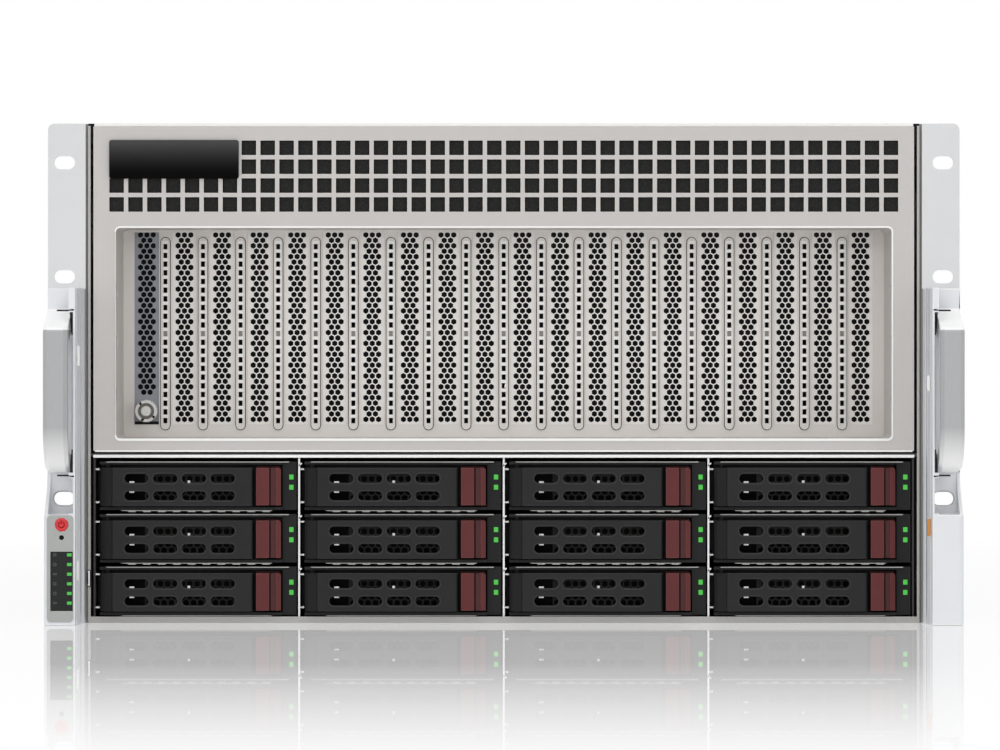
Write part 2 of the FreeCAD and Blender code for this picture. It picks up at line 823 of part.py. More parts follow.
def handle_casting(name, controls):
    """Left hand casting: stepped rail, plate, grip bar and lower module with the scoop above it."""
    body = new_body(name)
    far = S.rack_width / -2
    near = -HALF - S.ear_seam
    face = -S.module_reach
    front = -S.handle_reach
    bend = S.grip_bend
    thick = S.handle_thickness
    sweep = S.handle_bottom + bend
    grip = [
        (0, S.handle_top), (front + S.grip_lean, S.handle_top - S.grip_shoulder),
        (front, S.handle_top - S.grip_brow),
        (front, sweep, (front + bend, sweep), 1), (front + bend, S.handle_bottom),
        (0, S.handle_bottom),
    ]
    inside = bend - thick
    gap = [
        (-S.casting_plate, S.handle_top - thick - S.grip_gap_drop),
        (front + thick, S.handle_top - thick - S.grip_gap_slope),
        (front + thick, sweep, (front + bend, sweep), 1),
        (front + bend, sweep - inside),
        (-S.casting_plate, sweep - inside),
    ]
    outer = far + S.grip_inset
    pad(body, outline(body, name + "_grip", "YZ", [grip, gap], outer), S.handle_bar)
    outside = {round(outer.value, 3), round((outer + S.handle_bar).value, 3)}
    bar_front = (front + S.bar_bevel).value
    ease_edges(
        body, "Chamfer", S.bar_bevel,
        lambda p, d: round(p.x, 3) in outside and p.y < bar_front and abs(d.x) < CLOSE,
    )
    wall = -S.module_inner - S.rail_wall
    rail = [
        (near, 0), (near, -S.rail_low_reach), (near - S.rail_step, -S.rail_low_reach),
        (near - S.rail_step, -S.rail_high_reach), (-S.module_inner, -S.rail_high_reach),
        (-S.module_inner, face), (wall, face), (wall, 0),
    ]
    pad(body, outline(body, name + "_rail", "XY", [rail]), S.casting_height)
    plate = rectangle(far, 0, near, S.casting_height)
    pad(body, outline(body, name + "_plate", "XZ", [plate]), S.casting_plate, True)
    module = rectangle(far, 0, -S.module_inner, S.module_height)
    pad(body, outline(body, name + "_module", "XZ", [module]), S.module_reach, True)
    rim = [
        (0, S.module_height), (-S.casting_plate, S.handle_bottom),
        (-S.casting_plate - S.rim_bulge, S.handle_bottom - S.rim_drop),
        (face + S.rim_setback, S.module_height),
    ]
    pad(body, outline(body, name + "_rim", "YZ", [rim], far), S.rim_width)
    slot_middle = S.ear_slot_spacing / -2
    reach = S.ear_slot_length / 2 + S.slot_clearance
    wide = S.ear_slot_width + 2 * S.slot_clearance
    through = faceted_slot(slot_middle - reach, slot_middle + reach, S.ear_slot_low, wide, 4)
    pocket(body, outline(body, name + "_slot", "XZ", [through], face), S.module_reach)
    edge, deep, low = far.value, face.value, S.module_height.value - CLOSE
    ease_edges(
        body, "Fillet", S.module_corner,
        lambda p, d: max(abs(p.x - edge), abs(p.y - deep), abs(d.x)) < CLOSE and p.z < low,
    )
    if controls:
        depth = S.button_length + S.button_room
        button = ((-S.control_middle, S.power_height), S.power_radius + S.running_gap)
        pocket(body, outline(body, "power_bore", "XZ", [button], face), depth)
        reset_middle = (-S.control_middle, S.reset_height)
        reset = around(reset_middle, S.reset_radius + S.running_gap, PIN_SIDES)
        pocket(body, outline(body, "reset_bore", "XZ", [reset], face), depth)
        left = STATUS_LEFT
        recess = rectangle(left, S.status_bottom, left + S.status_width, S.status_top)
        pocket(body, outline(body, "status_recess", "XZ", [recess], face), S.status_plate)
    return body


def handles():
    node("left_handle", [handle_casting("left_casting", True)])
    node("right_handle", [mirrored("right_casting", handle_casting("right_pattern", False))])


def controls():
    """Power and reset buttons and the status window with its six lights."""
    face = -S.module_reach
    power = new_body("power_cap")
    cap = face - S.button_stand
    end = face + S.button_length
    profile = [
        (0, cap), (S.power_radius - S.button_bevel, cap), (S.power_radius, cap + S.button_bevel),
        (S.power_radius, end), (0, end),
    ]
    turn(power, "power_profile", profile)
    node("power_button", [power], -S.control_middle, 0, S.power_height)
    reset = new_body("reset_pin")
    sunk = face + S.button_bevel
    section = polygon((0, 0), S.reset_radius, PIN_SIDES)
    pad(reset, outline(reset, "reset_section", "XZ", [section], sunk), end - sunk)
    node("reset_button", [reset], -S.control_middle, 0, S.reset_height)
    window = new_body("status_window")
    left = STATUS_LEFT
    plate = rectangle(left, S.status_bottom, left + S.status_width, S.status_top)
    pad(window, outline(window, "status_face", "XZ", [plate], face), S.status_plate)
    lights = new_body("status_lights")
    right = left + S.status_width - S.status_light_inset
    low = S.status_bottom + S.status_light_first
    light = rectangle(right - S.status_light_width, low, right, low + S.status_light_height)
    light_face = outline(lights, "status_light", "XZ", [light], face)
    light_pad = pad(lights, light_face, S.status_light_stand, True)
    repeat(lights, light_pad, "V_Axis", S.status_light_pitch, S.status_light_count)
    node("status_panel", [window, lights])


def drive_cage():
    """Dividers with folded guides, under the shelf that carries the GPU section."""
    body = new_body("cage")
    half = S.divider / 2
    wall = rectangle(CELL_LEFT - half, FLOOR_TOP, CELL_LEFT + half, S.shelf_bottom)
    start = S.divider_setback
    wall_pad = pad(body, outline(body, "divider_face", "XZ", [wall], start), S.cage_depth - start)
    repeat(body, wall_pad, "H_Axis", S.bay_width, S.bay_columns + 1)
    shelf_half = HALF - S.sheet - S.shelf_gap
    shelf = rectangle(-shelf_half, S.shelf_bottom, shelf_half, S.shelf_bottom + S.shelf_thickness)
    pad(body, outline(body, "shelf_edge", "XZ", [shelf], S.shelf_setback), S.shelf_depth)
    rows = ("V_Axis", S.bay_height, S.bay_rows)
    lower = S.low_row - S.guide_offset - S.guide_thickness / 2
    upper = S.low_row + S.guide_offset - S.guide_thickness / 2
    far = CELL_LEFT + S.bay_width
    sides = (
        ("left", CELL_LEFT, CELL_LEFT + S.guide_reach, S.guide_start),
        ("right", far - S.guide_reach, far, S.guide_tail_start),
    )
    for side, inner, outer, begin in sides:
        pair = [rectangle(inner, low, outer, low + S.guide_thickness) for low in (lower, upper)]
        sketch = outline(body, f"{side}_guides", "XZ", pair, begin)
        guide_pad = pad(body, sketch, S.cage_depth - begin)
        repeat(body, guide_pad, "H_Axis", S.bay_width, S.bay_columns, rows)
    node("drive_cage", [body])


def drive_backplane():
    """Board behind the cage, with an air slot above and a connector in each bay."""
    body = new_body("backplane")
    half = HALF - S.sheet - S.backplane_gap
    face = rectangle(-half, FLOOR_TOP, half, S.shelf_bottom)
    pad(body, outline(body, "backplane_face", "XZ", [face], S.cage_depth), S.board)
    rows = ("V_Axis", S.bay_height, S.bay_rows)
    low = S.low_row
    vent = rectangle(
        CELL_LEFT + S.backplane_vent_left, low + S.backplane_vent_low,
        CELL_LEFT + S.backplane_vent_right, low + S.backplane_vent_high,
    )
    vent_cut = pocket(body, outline(body, "backplane_vent", "XZ", [vent], S.cage_depth), S.board)
    repeat(body, vent_cut, "H_Axis", S.bay_width, S.bay_columns, rows)
    plug = rectangle(
        CELL_LEFT + S.plug_left, low + S.plug_low, CELL_LEFT + S.plug_right, low + S.plug_high
    )
    reach = S.cage_depth - S.drive_start - S.drive_length - S.plug_gap
    plug_pad = pad(body, outline(body, "drive_plug", "XZ", [plug], S.cage_depth), reach, True)
    repeat(body, plug_pad, "H_Axis", S.bay_width, S.bay_columns, rows)
    node("drive_backplane", [body])


def tray_pieces():
    """Frame with runners, drive, hinge pin and lights of the tray in the lowest left bay."""
    frame = new_body("tray_frame")
    tall = S.frame_half_height
    inside = tall - S.frame_bar
    block = rectangle(S.frame_left, -tall, S.frame_right, tall)
    pad(frame, outline(frame, "frame_block", "XZ", [block]), S.frame_depth)
    well = rectangle(S.frame_left, -inside, S.light_strip_left, inside)
    pocket(frame, outline(frame, "frame_well", "XZ", [well]), S.frame_floor)
    strip = rectangle(S.light_strip_left, -tall, S.frame_right, tall)
    pocket(frame, outline(frame, "light_strip", "XZ", [strip]), S.light_strip_setback)
    air = rectangle(
        S.vent_start, -S.frame_air_half, S.tab_left - S.frame_air_margin, S.frame_air_half
    )
    pocket(frame, outline(frame, "frame_air", "XZ", [air]), S.frame_depth)
    stem_left = STEM_LEFT - S.stem_gap
    stem_right = STEM_LEFT + S.tab_stem + S.stem_gap
    stem_half = S.stem_half_height + S.stem_gap
    stem = rectangle(stem_left, -stem_half, stem_right, stem_half)
    pocket(frame, outline(frame, "stem_hole", "XZ", [stem]), S.frame_depth)
    end = S.drive_start + S.drive_length + S.runner_tail
    near, far = S.frame_left, S.bay_width - S.frame_left
    reach = S.runner - S.runner_gap
    runners = [
        rectangle(near - reach, S.runner_start, near + S.runner_root, end),
        rectangle(far - S.runner_root, S.runner_start, far + reach, end),
    ]
    low = -S.runner_half_height
    pad(frame, outline(frame, "runners", "XY", runners, low), 2 * S.runner_half_height)

    drive = new_body("drive")
    side = S.drive_width / 2
    middle = S.bay_width / 2
    half = S.drive_height / 2
    profile = rectangle(middle - side, -half, middle + side, half)
    pad(drive, outline(drive, "drive_profile", "XZ", [profile], S.drive_start), S.drive_length)

    pin = new_body("hinge_pin")
    section = polygon((S.hinge_inset, S.hinge_depth), S.pin_radius, PIN_SIDES)
    pad(pin, outline(pin, "pin_section", "XY", [section], -inside), 2 * inside)

    lights = new_body("tray_lights")
    left, right = S.light_middle - S.light_width / 2, S.light_middle + S.light_width / 2
    half = S.light_height / 2
    loops = [
        rectangle(left, height - half, right, height + half) for height in (S.light_high, S.light_low)
    ]
    face = S.light_strip_setback
    pad(lights, outline(lights, "light_faces", "XZ", loops, face), S.light_stand, True)
    return [frame, drive, pin, lights]


def tray_lever():
    """Hinged front of a tray: round barrel on the left, hollow perforated plate to the right."""
    body = new_body("lever")
    radius = S.barrel_radius
    front = S.hinge_depth - radius
    back = S.hinge_depth + radius
    barrel = [math.radians(90 + 180 * step / BARREL_FLATS) for step in range(BARREL_FLATS + 1)]
    profile = [
        (S.lever_right - S.lever_nose, front), (S.lever_right, front + S.lever_nose),
        (S.lever_right, back),
    ]
    for angle in barrel:
        point = (S.hinge_inset + radius * math.cos(angle), S.hinge_depth + radius * math.sin(angle))
        profile.append(point)
    half = S.lever_half_height
    pad(body, outline(body, "lever_profile", "XY", [profile], -half), 2 * half)
    web = S.hinge_inset + radius + S.lever_web
    inside = half - S.lever_rim
    well = rectangle(web, -inside, S.lever_right - S.lever_rim, inside)
    start = front + S.lever_wall
    pocket(body, outline(body, "lever_well", "XZ", [well], start), back - start)
    bore = around((S.hinge_inset, S.hinge_depth), S.pin_radius + S.running_gap, PIN_SIDES)
    pocket(body, outline(body, "lever_bore", "XY", [bore], -half), 2 * half)
    vent = faceted_slot(
        S.vent_start, S.vent_start + S.vent_length, S.vent_row_pitch / -2, S.vent_height
    )
    vent_cut = pocket(body, outline(body, "lever_vent", "XZ", [vent], front), S.lever_wall)
    rows = ("V_Axis", S.vent_row_pitch, 2)
    repeat(body, vent_cut, "H_Axis", S.vent_pitch, S.vent_columns, rows)
    return body


def release_tab():
    """Red press tab: flat left half, right half that slopes back, and a guide stem behind."""
    body = new_body("tab")
    front = S.hinge_depth - S.barrel_radius
    back = S.hinge_depth + S.barrel_radius
    split = (S.tab_left + S.tab_right) / 2
    groove = S.tab_groove
    profile = [
        (S.tab_left, front), (split - groove, front), (split - groove, front + groove),
        (split, front + groove), (split, front + S.tab_step), (S.tab_right, front + S.tab_slope),
        (S.tab_right, back), (S.tab_left, back),
    ]
    half = S.tab_half_height
    pad(body, outline(body, "tab_profile", "XY", [profile], -half), 2 * half)
    stem = rectangle(STEM_LEFT, -S.stem_half_height, STEM_LEFT + S.tab_stem, S.stem_half_height)
    pad(body, outline(body, "tab_stem_face", "XZ", [stem], back), S.frame_depth - back - S.stem_end_gap)
    return body


def drive_trays():
    """Twelve trays: the same pieces, set into the bays row by row from the top left."""
    tray, lever, tab = tray_pieces(), tray_lever(), release_tab()
    for row in range(DIMENSIONS["bay_rows"]):
        for column in range(DIMENSIONS["bay_columns"]):
            number = row * DIMENSIONS["bay_columns"] + column + 1
            x = CELL_LEFT + column * S.bay_width
            z = S.low_row + (S.bay_rows - 1 - row) * S.bay_height
            node(f"drive_tray_{number:02d}", tray, x, 0, z)
            node(f"tray_lever_{number:02d}", [lever], x, 0, z)
            node(f"release_tab_{number:02d}", [tab], x, 0, z)


def gpu_cards():
    """Ten double-width cards on their board above the shelf."""
    deck = S.shelf_bottom + S.shelf_thickness
    board = new_body("card_board")
    side = S.card_board_half
    sheet_edge = rectangle(-side, S.card_start, side, S.shelf_depth - S.card_board_margin)
    pad(board, outline(board, "card_board_face", "XY", [sheet_edge], deck), S.card_board)
    cards = new_body("cards")
    half = S.card_width / 2
    first = (2 - S.slot_count) * S.slot_pitch / 2
    low = deck + S.card_board
    high = low + S.card_height
    bevel = S.card_bevel
    profile = [
        (first - half + bevel, low), (first + half, low), (first + half, high - bevel),
        (first + half - bevel, high), (first - half + bevel, high), (first - half, high - bevel),
        (first - half, low + bevel),
    ]
    card = pad(cards, outline(cards, "card_profile", "XZ", [profile], S.card_start), S.card_length)
    repeat(cards, card, "H_Axis", 2 * S.slot_pitch, S.card_count)
    node("gpu_cards", [board, cards])


def mainboard():
    """Board on posts behind the drives: two finned heatsinks, memory, and ports at the rear."""
    board_low = S.sheet + S.board_stand
    board_top = board_low + S.board
    board = new_body("main_board")
    left, near, far = S.board_left, S.board_near, S.board_far
    face = rectangle(left, near, S.board_right, far)
    pad(board, outline(board, "board_face", "XY", [face], board_low), S.board)
    corner = (left + S.post_inset, near + S.post_inset)
    post = rectangle(*corner, corner[0] + S.post_side, corner[1] + S.post_side)
    post_pad = pad(board, outline(board, "post", "XY", [post], S.sheet), S.board_stand)
    deep_rows = ("V_Axis", S.post_row_pitch, S.post_count)
    repeat(board, post_pad, "H_Axis", S.post_pitch, S.post_count, deep_rows)

    sinks = new_body("heatsinks")
    first, begin, end = S.sink_left, S.sink_near, S.sink_near + S.sink_length
    base = rectangle(first, begin, first + S.sink_width, end)
    base_pad = pad(sinks, outline(sinks, "sink_base", "XY", [base], board_top), S.sink_base)
    repeat(sinks, base_pad, "H_Axis", S.sink_pitch, 2)
    fin_pitch = (S.sink_width - S.fin) / (S.fin_count - 1)
    for label, edge in (("near", first), ("far", first + S.sink_pitch)):
        fin = rectangle(edge, begin, edge + S.fin, end)
        sketch = outline(sinks, f"{label}_sink_fin", "XY", [fin], board_top + S.sink_base)
        repeat(sinks, pad(sinks, sketch, S.fin_height), "H_Axis", fin_pitch, S.fin_count)

    memory = new_body("memory")
    groups = (
        ("outer_stick", S.outer_stick_left, S.outer_stick_pitch, S.outer_sticks),
        ("inner_stick", S.inner_stick_left, S.inner_stick_pitch, S.inner_sticks),
    )
    for label, edge, pitch, count in groups:
        stick = rectangle(edge, S.stick_near, edge + S.stick_width, S.stick_near + S.stick_length)
        stick_pad = pad(memory, outline(memory, label, "XY", [stick], board_top), S.stick_height)
        repeat(memory, stick_pad, "H_Axis", pitch, count)

    ports = new_body("rear_ports")
    left, right = S.rear_port_left, S.rear_port_left + S.rear_port_width
    start = far - S.rear_port_overlap
    port = rectangle(left, S.port_low, right, S.port_low + S.rear_port_height)
    port_pad = pad(ports, outline(ports, "port_block", "XZ", [port], start), S.chassis_depth - start)
    repeat(ports, port_pad, "H_Axis", S.rear_port_pitch, S.rear_ports)
    foot = rectangle(left, board_top, right, S.port_low)
    foot_pad = pad(ports, outline(ports, "port_foot", "XZ", [foot], start), S.rear_port_overlap)
    repeat(ports, foot_pad, "H_Axis", S.rear_port_pitch, S.rear_ports)
    node("mainboard", [board, sinks, memory, ports])


def fans():
    """Square fan frames against the rear wall, each with a strut and a bladed rotor on its shaft."""
    body = new_body("fan_housings")
    half = S.fan_size / 2
    first = -S.fan_pitch
    square = rectangle(first - half, S.fan_height - half, first + half, S.fan_height + half)
    centre = (first, S.fan_height)
    start = FAN_REAR - S.fan_depth
    ring = outline(body, "fan_ring", "XZ", [square, around(centre, S.fan_bore, FAN_SIDES)], start)
    repeat(body, pad(body, ring, S.fan_depth), "H_Axis", S.fan_pitch, FAN_COUNT)
    reach = S.fan_strut / 2
    struts = FAN_REAR - S.fan_strut_depth
    bar = rectangle(first - half, S.fan_height - reach, first + half, S.fan_height + reach)
    bar_pad = pad(body, outline(body, "strut", "XZ", [bar], struts), S.fan_strut_depth)
    repeat(body, bar_pad, "H_Axis", S.fan_pitch, FAN_COUNT)
    bore = around(centre, S.fan_shaft + S.running_gap, PIN_SIDES)
    bearing = outline(body, "fan_bearing", "XZ", [bore], struts)
    repeat(body, pocket(body, bearing, S.fan_strut_depth), "H_Axis", S.fan_pitch, FAN_COUNT)
    node("fan_frames", [body])

    rotor = new_body("rotor")
    front = start + S.rotor_setback
    back = struts - S.rotor_gap
    shaft_end = FAN_REAR - S.rotor_gap
    hub = polygon((0, 0), S.fan_hub, HUB_SIDES)
    pad(rotor, outline(rotor, "hub", "XZ", [hub], front), back - front)
    shaft = polygon((0, 0), S.fan_shaft, PIN_SIDES)
    pad(rotor, outline(rotor, "shaft", "XZ", [shaft], back), shaft_end - back)
    middle = (front + back) / 2
    deep, sweep, skin = S.blade_half_depth, S.blade_half_sweep, S.blade_thickness / 2
    blade = [
        (middle - deep, -sweep - skin), (middle + deep, sweep - skin),
        (middle + deep, sweep + skin), (middle - deep, skin - sweep),
    ]
    sketch = outline(rotor, "blade_section", "YZ", [blade], S.blade_root)
    pad(rotor, sketch, S.fan_bore - S.fan_tip_gap - S.blade_root)
    pattern = rotor.newObject("PartDesign::PolarPattern", "blades")
    pattern.Originals = [rotor.Tip]
    axis = next(f for f in rotor.Origin.OriginFeatures if f.Role == "Y_Axis")
    pattern.Axis = (axis, [""])
    pattern.Angle = 360
    bind(pattern, "Occurrences", S.fan_blades)
    rotor.Tip = pattern
    doc.recompute()
    for number in range(FAN_COUNT):
        node(f"fan_rotor_{number + 1}", [rotor], (number - 1) * S.fan_pitch, 0, S.fan_height)


def power_supplies():
    """Plug-in supplies: case, grip, power inlet and fan slots on the rear end."""
    body = new_body("supply")
    half = S.supply_width / 2
    start = S.chassis_depth - S.supply_length
    case = rectangle(-half, 0, half, S.supply_height)
    pad(body, outline(body, "supply_case", "XZ", [case], start), S.supply_length)
    end = S.chassis_depth
    out = end + S.supply_grip
    low, high = S.grip_margin, S.supply_height - S.grip_margin
    bevel, bar = S.grip_bevel, S.grip_bar
    loop = [
        (end, low), (out - bevel, low), (out, low + bevel), (out, high - bevel), (out - bevel, high),
        (end, high), (end, high - bar), (out - bar, high - bar), (out - bar, low + bar),
        (end, low + bar),
    ]
    pad(body, outline(body, "supply_grip_loop", "YZ", [loop], S.grip_left), S.grip_width)
    left, low, side = S.inlet_left, S.inlet_low, S.inlet_side
    inlet = rectangle(left, low, left + side, low + side)
    floor = end - S.inlet_depth
    pocket(body, outline(body, "power_inlet", "XZ", [inlet], floor), S.inlet_depth)
    wide, tall = S.inlet_pin_width, S.inlet_pin_height
    corners = (
        (left + S.inlet_pin_side, low + S.inlet_pin_low),
        (left + side - S.inlet_pin_side - wide, low + S.inlet_pin_low),
        (left + (side - wide) / 2, low + S.inlet_pin_high),
    )
    pins = [rectangle(x, z, x + wide, z + tall) for x, z in corners]
    pad(body, outline(body, "inlet_pins", "XZ", pins, floor), S.inlet_pin)
    slot = rectangle(
        S.supply_vent_left, S.supply_vent_low,
        S.supply_vent_left + S.supply_vent_width, S.supply_height - S.supply_vent_low,
    )
    vents = outline(body, "supply_vent", "XZ", [slot], end - S.supply_vent_depth)
    vent_cut = pocket(body, vents, S.supply_vent_depth)
    repeat(body, vent_cut, "H_Axis", S.supply_vent_pitch, S.supply_vents)
    for number in range(4):
        column, tier = number % 2, number // 2
        node(f"power_supply_{number + 1}", [body], SUPPLY_X[column], 0, SUPPLY_Z[tier])


chassis_base()
top_cover()
front_bezel()
gpu_slot_panel()
slot_covers()
rack_ears()
handles()
controls()
drive_cage()
drive_backplane()
drive_trays()
gpu_cards()
mainboard()
fans()
power_supplies()
doc.recompute()

for item in doc.Objects:
    if "Invalid" in item.State or "Error" in item.State:
        raise RuntimeError(f"{item.Label} failed: {item.State}")
for name, item in NODES.items():
    if item.Shape.isNull() or not item.Shape.isValid() or not item.Shape.Solids:
        raise RuntimeError(f"{name} has no valid shape")

os.makedirs("parts", exist_ok=True)
for name, item in NODES.items():
    item.Shape.exportStep(f"parts/{item.Label}.step")
print(len(NODES), "sub-parts written")
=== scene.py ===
# %% [markdown]
# # Dressing a rack server
# The part is a six unit server for graphics cards: a painted steel box with a bezel, a window that shows
# twenty card slots, twelve drive trays and two cast handles. The solids come from the frame at their real
# size. This lesson gives them their finish and adds what is too small for the solids, such as the
# hexagonal perforation, the rounded edges and the spring strips on the trays.

# %% Load the frame
import math

import bpy
from mathutils import Matrix, Vector


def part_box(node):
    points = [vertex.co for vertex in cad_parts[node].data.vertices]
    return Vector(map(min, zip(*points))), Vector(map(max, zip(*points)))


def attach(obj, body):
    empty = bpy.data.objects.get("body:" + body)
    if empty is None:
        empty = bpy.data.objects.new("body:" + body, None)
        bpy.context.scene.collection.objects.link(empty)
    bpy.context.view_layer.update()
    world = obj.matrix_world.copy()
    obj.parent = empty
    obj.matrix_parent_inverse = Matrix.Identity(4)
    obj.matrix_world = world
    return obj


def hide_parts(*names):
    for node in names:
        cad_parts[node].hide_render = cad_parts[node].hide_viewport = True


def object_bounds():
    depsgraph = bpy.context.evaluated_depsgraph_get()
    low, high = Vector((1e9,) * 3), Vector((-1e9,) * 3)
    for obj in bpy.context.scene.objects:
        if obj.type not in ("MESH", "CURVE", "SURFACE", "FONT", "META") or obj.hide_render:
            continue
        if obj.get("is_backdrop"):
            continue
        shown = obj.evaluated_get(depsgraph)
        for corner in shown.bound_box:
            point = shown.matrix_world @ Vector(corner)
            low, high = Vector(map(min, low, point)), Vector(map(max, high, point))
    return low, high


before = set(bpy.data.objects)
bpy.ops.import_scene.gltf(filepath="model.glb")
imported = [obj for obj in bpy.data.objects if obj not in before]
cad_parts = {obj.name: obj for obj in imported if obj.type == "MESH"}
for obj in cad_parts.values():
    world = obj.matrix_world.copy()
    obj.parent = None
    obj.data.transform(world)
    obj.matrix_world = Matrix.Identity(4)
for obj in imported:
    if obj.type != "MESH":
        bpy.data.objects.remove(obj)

solid_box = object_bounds()

# %% [markdown]
# Blender works in metres, but sheet metal is thought of in millimetres. Every place in this lesson is
# therefore given as (across, deep, up) in millimetres, where deep is counted from the front face of the
# rack ears, which is the plane that meets the rack.

# %% Places and sizes
MM = 0.001
RACK_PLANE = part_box("rack_ears")[0].y
SHEET = 1.2


def spot(across, deep, up):
    """A place in millimetres as a vector in metres."""
    return Vector((across * MM, RACK_PLANE + deep * MM, up * MM))


def place(point):
    """A point in metres as (across, deep, up) in millimetres."""
    return point.x / MM, (point.y - RACK_PLANE) / MM, point.z / MM


def extent(node):
    """The lowest and highest corner of a frame node in millimetres."""
    low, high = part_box(node)
    return place(low), place(high)


def shift_between(first, other):
    """How far one node is from another that is like it, in millimetres."""
    return tuple(b - a for a, b in zip(extent(first)[0], extent(other)[0]))


print("rack plane at", round(RACK_PLANE, 4), "m; bezel", extent("front_bezel"))

# %% [markdown]
# The picture is taken straight from the front with a long lens, so that the sides of the box hardly show.
# The camera is at half the height of the box, where the recess shows its top and bottom walls equally.

# %% Camera
CAMERA_PLACE = (-0.002, -3.194, 0.1313)
FOCAL_LENGTH, SENSOR_WIDTH = 190.4, 36
lens = bpy.data.cameras.new("front_camera")
lens.sensor_width = SENSOR_WIDTH
lens.lens = FOCAL_LENGTH
camera = bpy.data.objects.new("front_camera", lens)
camera.location = CAMERA_PLACE
camera.rotation_euler = (math.radians(90), 0, 0)
bpy.context.collection.objects.link(camera)
bpy.context.scene.camera = camera
bpy.context.scene.view_settings.view_transform = "Standard"
print("camera at", CAMERA_PLACE)

# %% [markdown]
# Materials are small node trees. One class wraps a socket and gives it plus, minus and times, and a second
# class holds the tree and adds any other node, so that a finish reads like a sum. Colours are written as
# the screen shows them, from 0 to 255.

# %% Shader arithmetic
SMOOTH = "SMOOTHSTEP"


class Shade:
    """A shader socket that takes part in plain arithmetic; the bar takes the larger of two."""

    def __init__(self, finish, socket):
        self.finish = finish
        self.socket = socket

    def work_out(self, operation, first, second):
        return self.finish.node("Math", {"operation": operation}, {0: first, 1: second})

    def __add__(self, other):
        return self.work_out("ADD", self, other)

    def __radd__(self, other):
        return self.work_out("ADD", other, self)

    def __rsub__(self, other):
        return self.work_out("SUBTRACT", other, self)

    def __mul__(self, other):
        return self.work_out("MULTIPLY", self, other)

    def __rmul__(self, other):
        return self.work_out("MULTIPLY", other, self)

    def __or__(self, other):
        return self.work_out("MAXIMUM", self, other)


class Finish:
    """A material or world in the making: its node tree, and methods that add nodes."""

    def __init__(self, owner):
        self.owner = owner
        owner.use_nodes = True
        self.tree = owner.node_tree

    def node(self, kind, settings=None, sockets=None, output=0):
        made = self.tree.nodes.new("ShaderNode" + kind)
        for name, value in (settings or {}).items():
            setattr(made, name, value)
        for key, value in (sockets or {}).items():
            self.join(value, made.inputs[key])
        return Shade(self, made.outputs[output])

    def join(self, value, socket):
        if isinstance(value, Shade):
            self.tree.links.new(value.socket, socket)
        else:
            socket.default_value = value

    def surface(self, **values):
        """Sets the main shader's sockets, named with underscores for spaces."""
        shader = self.tree.nodes["Principled BSDF"]
        for name, value in values.items():
            self.join(value, shader.inputs[name.replace("_", " ")])

    def object_place(self):
        return self.node("TexCoord", output="Object")

    def along(self, axis, source="Object"):
        return self.node("SeparateXYZ", {}, {0: self.node("TexCoord", output=source)}, axis)

    def ray(self, kind):
        return self.node("LightPath", output=f"Is {kind} Ray")

    def ramp(self, value, start, end, low=0, high=1, kind="LINEAR"):
        """Goes from low to high while the value goes from start to end."""
        sockets = {"Value": value, 1: start, 2: end, 3: low, 4: high}
        return self.node("MapRange", {"interpolation_type": kind}, sockets)

    def noise(self, grain, detail=2.0, stretch=(1, 1, 1)):
        """Cloudy noise whose patches are about grain millimetres across."""
        where = self.node("Mapping", {}, {"Vector": self.object_place(), "Scale": stretch})
        sockets = {"Vector": where, "Scale": 1 / (grain * MM), "Detail": detail}
        return self.node("TexNoise", {}, sockets, "Fac")

    def blend(self, factor, first, second):
        return self.node("Mix", {"data_type": "RGBA"}, {0: factor, 6: first, 7: second}, 2)

    def bump(self, height, strength, rise):
        return self.node("Bump", {}, {"Strength": strength, "Distance": rise * MM, "Height": height})


def tint(red, green, blue, lift=1.0):
    """A screen colour as the shader wants it; lift makes it a little lighter or darker."""
    levels = [value / 255 for value in (red, green, blue)]
    linear = [((v + 0.055) / 1.055) ** 2.4 if v > 0.04045 else v / 12.92 for v in levels]
    return tuple(min(1.0, value * lift) for value in linear) + (1.0,)


FINISHES = {}


def new_finish(name):
    FINISHES[name] = Finish(bpy.data.materials.new(name))
    return FINISHES[name]


print("a shade of bezel grey:", tint(197, 193, 190))

# %% [markdown]
# The photograph has a white room and a floor that mirrors the front of the server, fading towards the
# viewer. The camera sees a plain white world. Mirrors see a studio that is white all round and darker
# behind the photographer, which gives the bare metal of the rails its grey. Matt surfaces get less from
# the room, because the soft boxes give them the rest. The floor is half white paint and half lacquer: its
# mirror follows the Fresnel law, so that it is strong at the low angle of the photograph and weak from
# above. In mirrors the floor darkens towards the viewer, as the room does.

# %% Floor and studio
ROOM_LIGHT, DARKENING = 0.58, 0.8
world = bpy.data.worlds.new("studio")
bpy.context.scene.world = world
studio = Finish(world)
seen = studio.ray("Camera") | studio.ray("Transmission")
gloss = studio.ray("Glossy")
behind = studio.ramp(studio.along("Y", "Generated"), -0.1, -0.7, kind=SMOOTH)
below = studio.ramp(studio.along("Z", "Generated"), 0.65, 0.15, kind=SMOOTH)
room = gloss * (1 - DARKENING * behind * below) + (1 - gloss) * ROOM_LIGHT
studio.join(seen + (1 - seen) * room, world.node_tree.nodes["Background"].inputs["Color"])

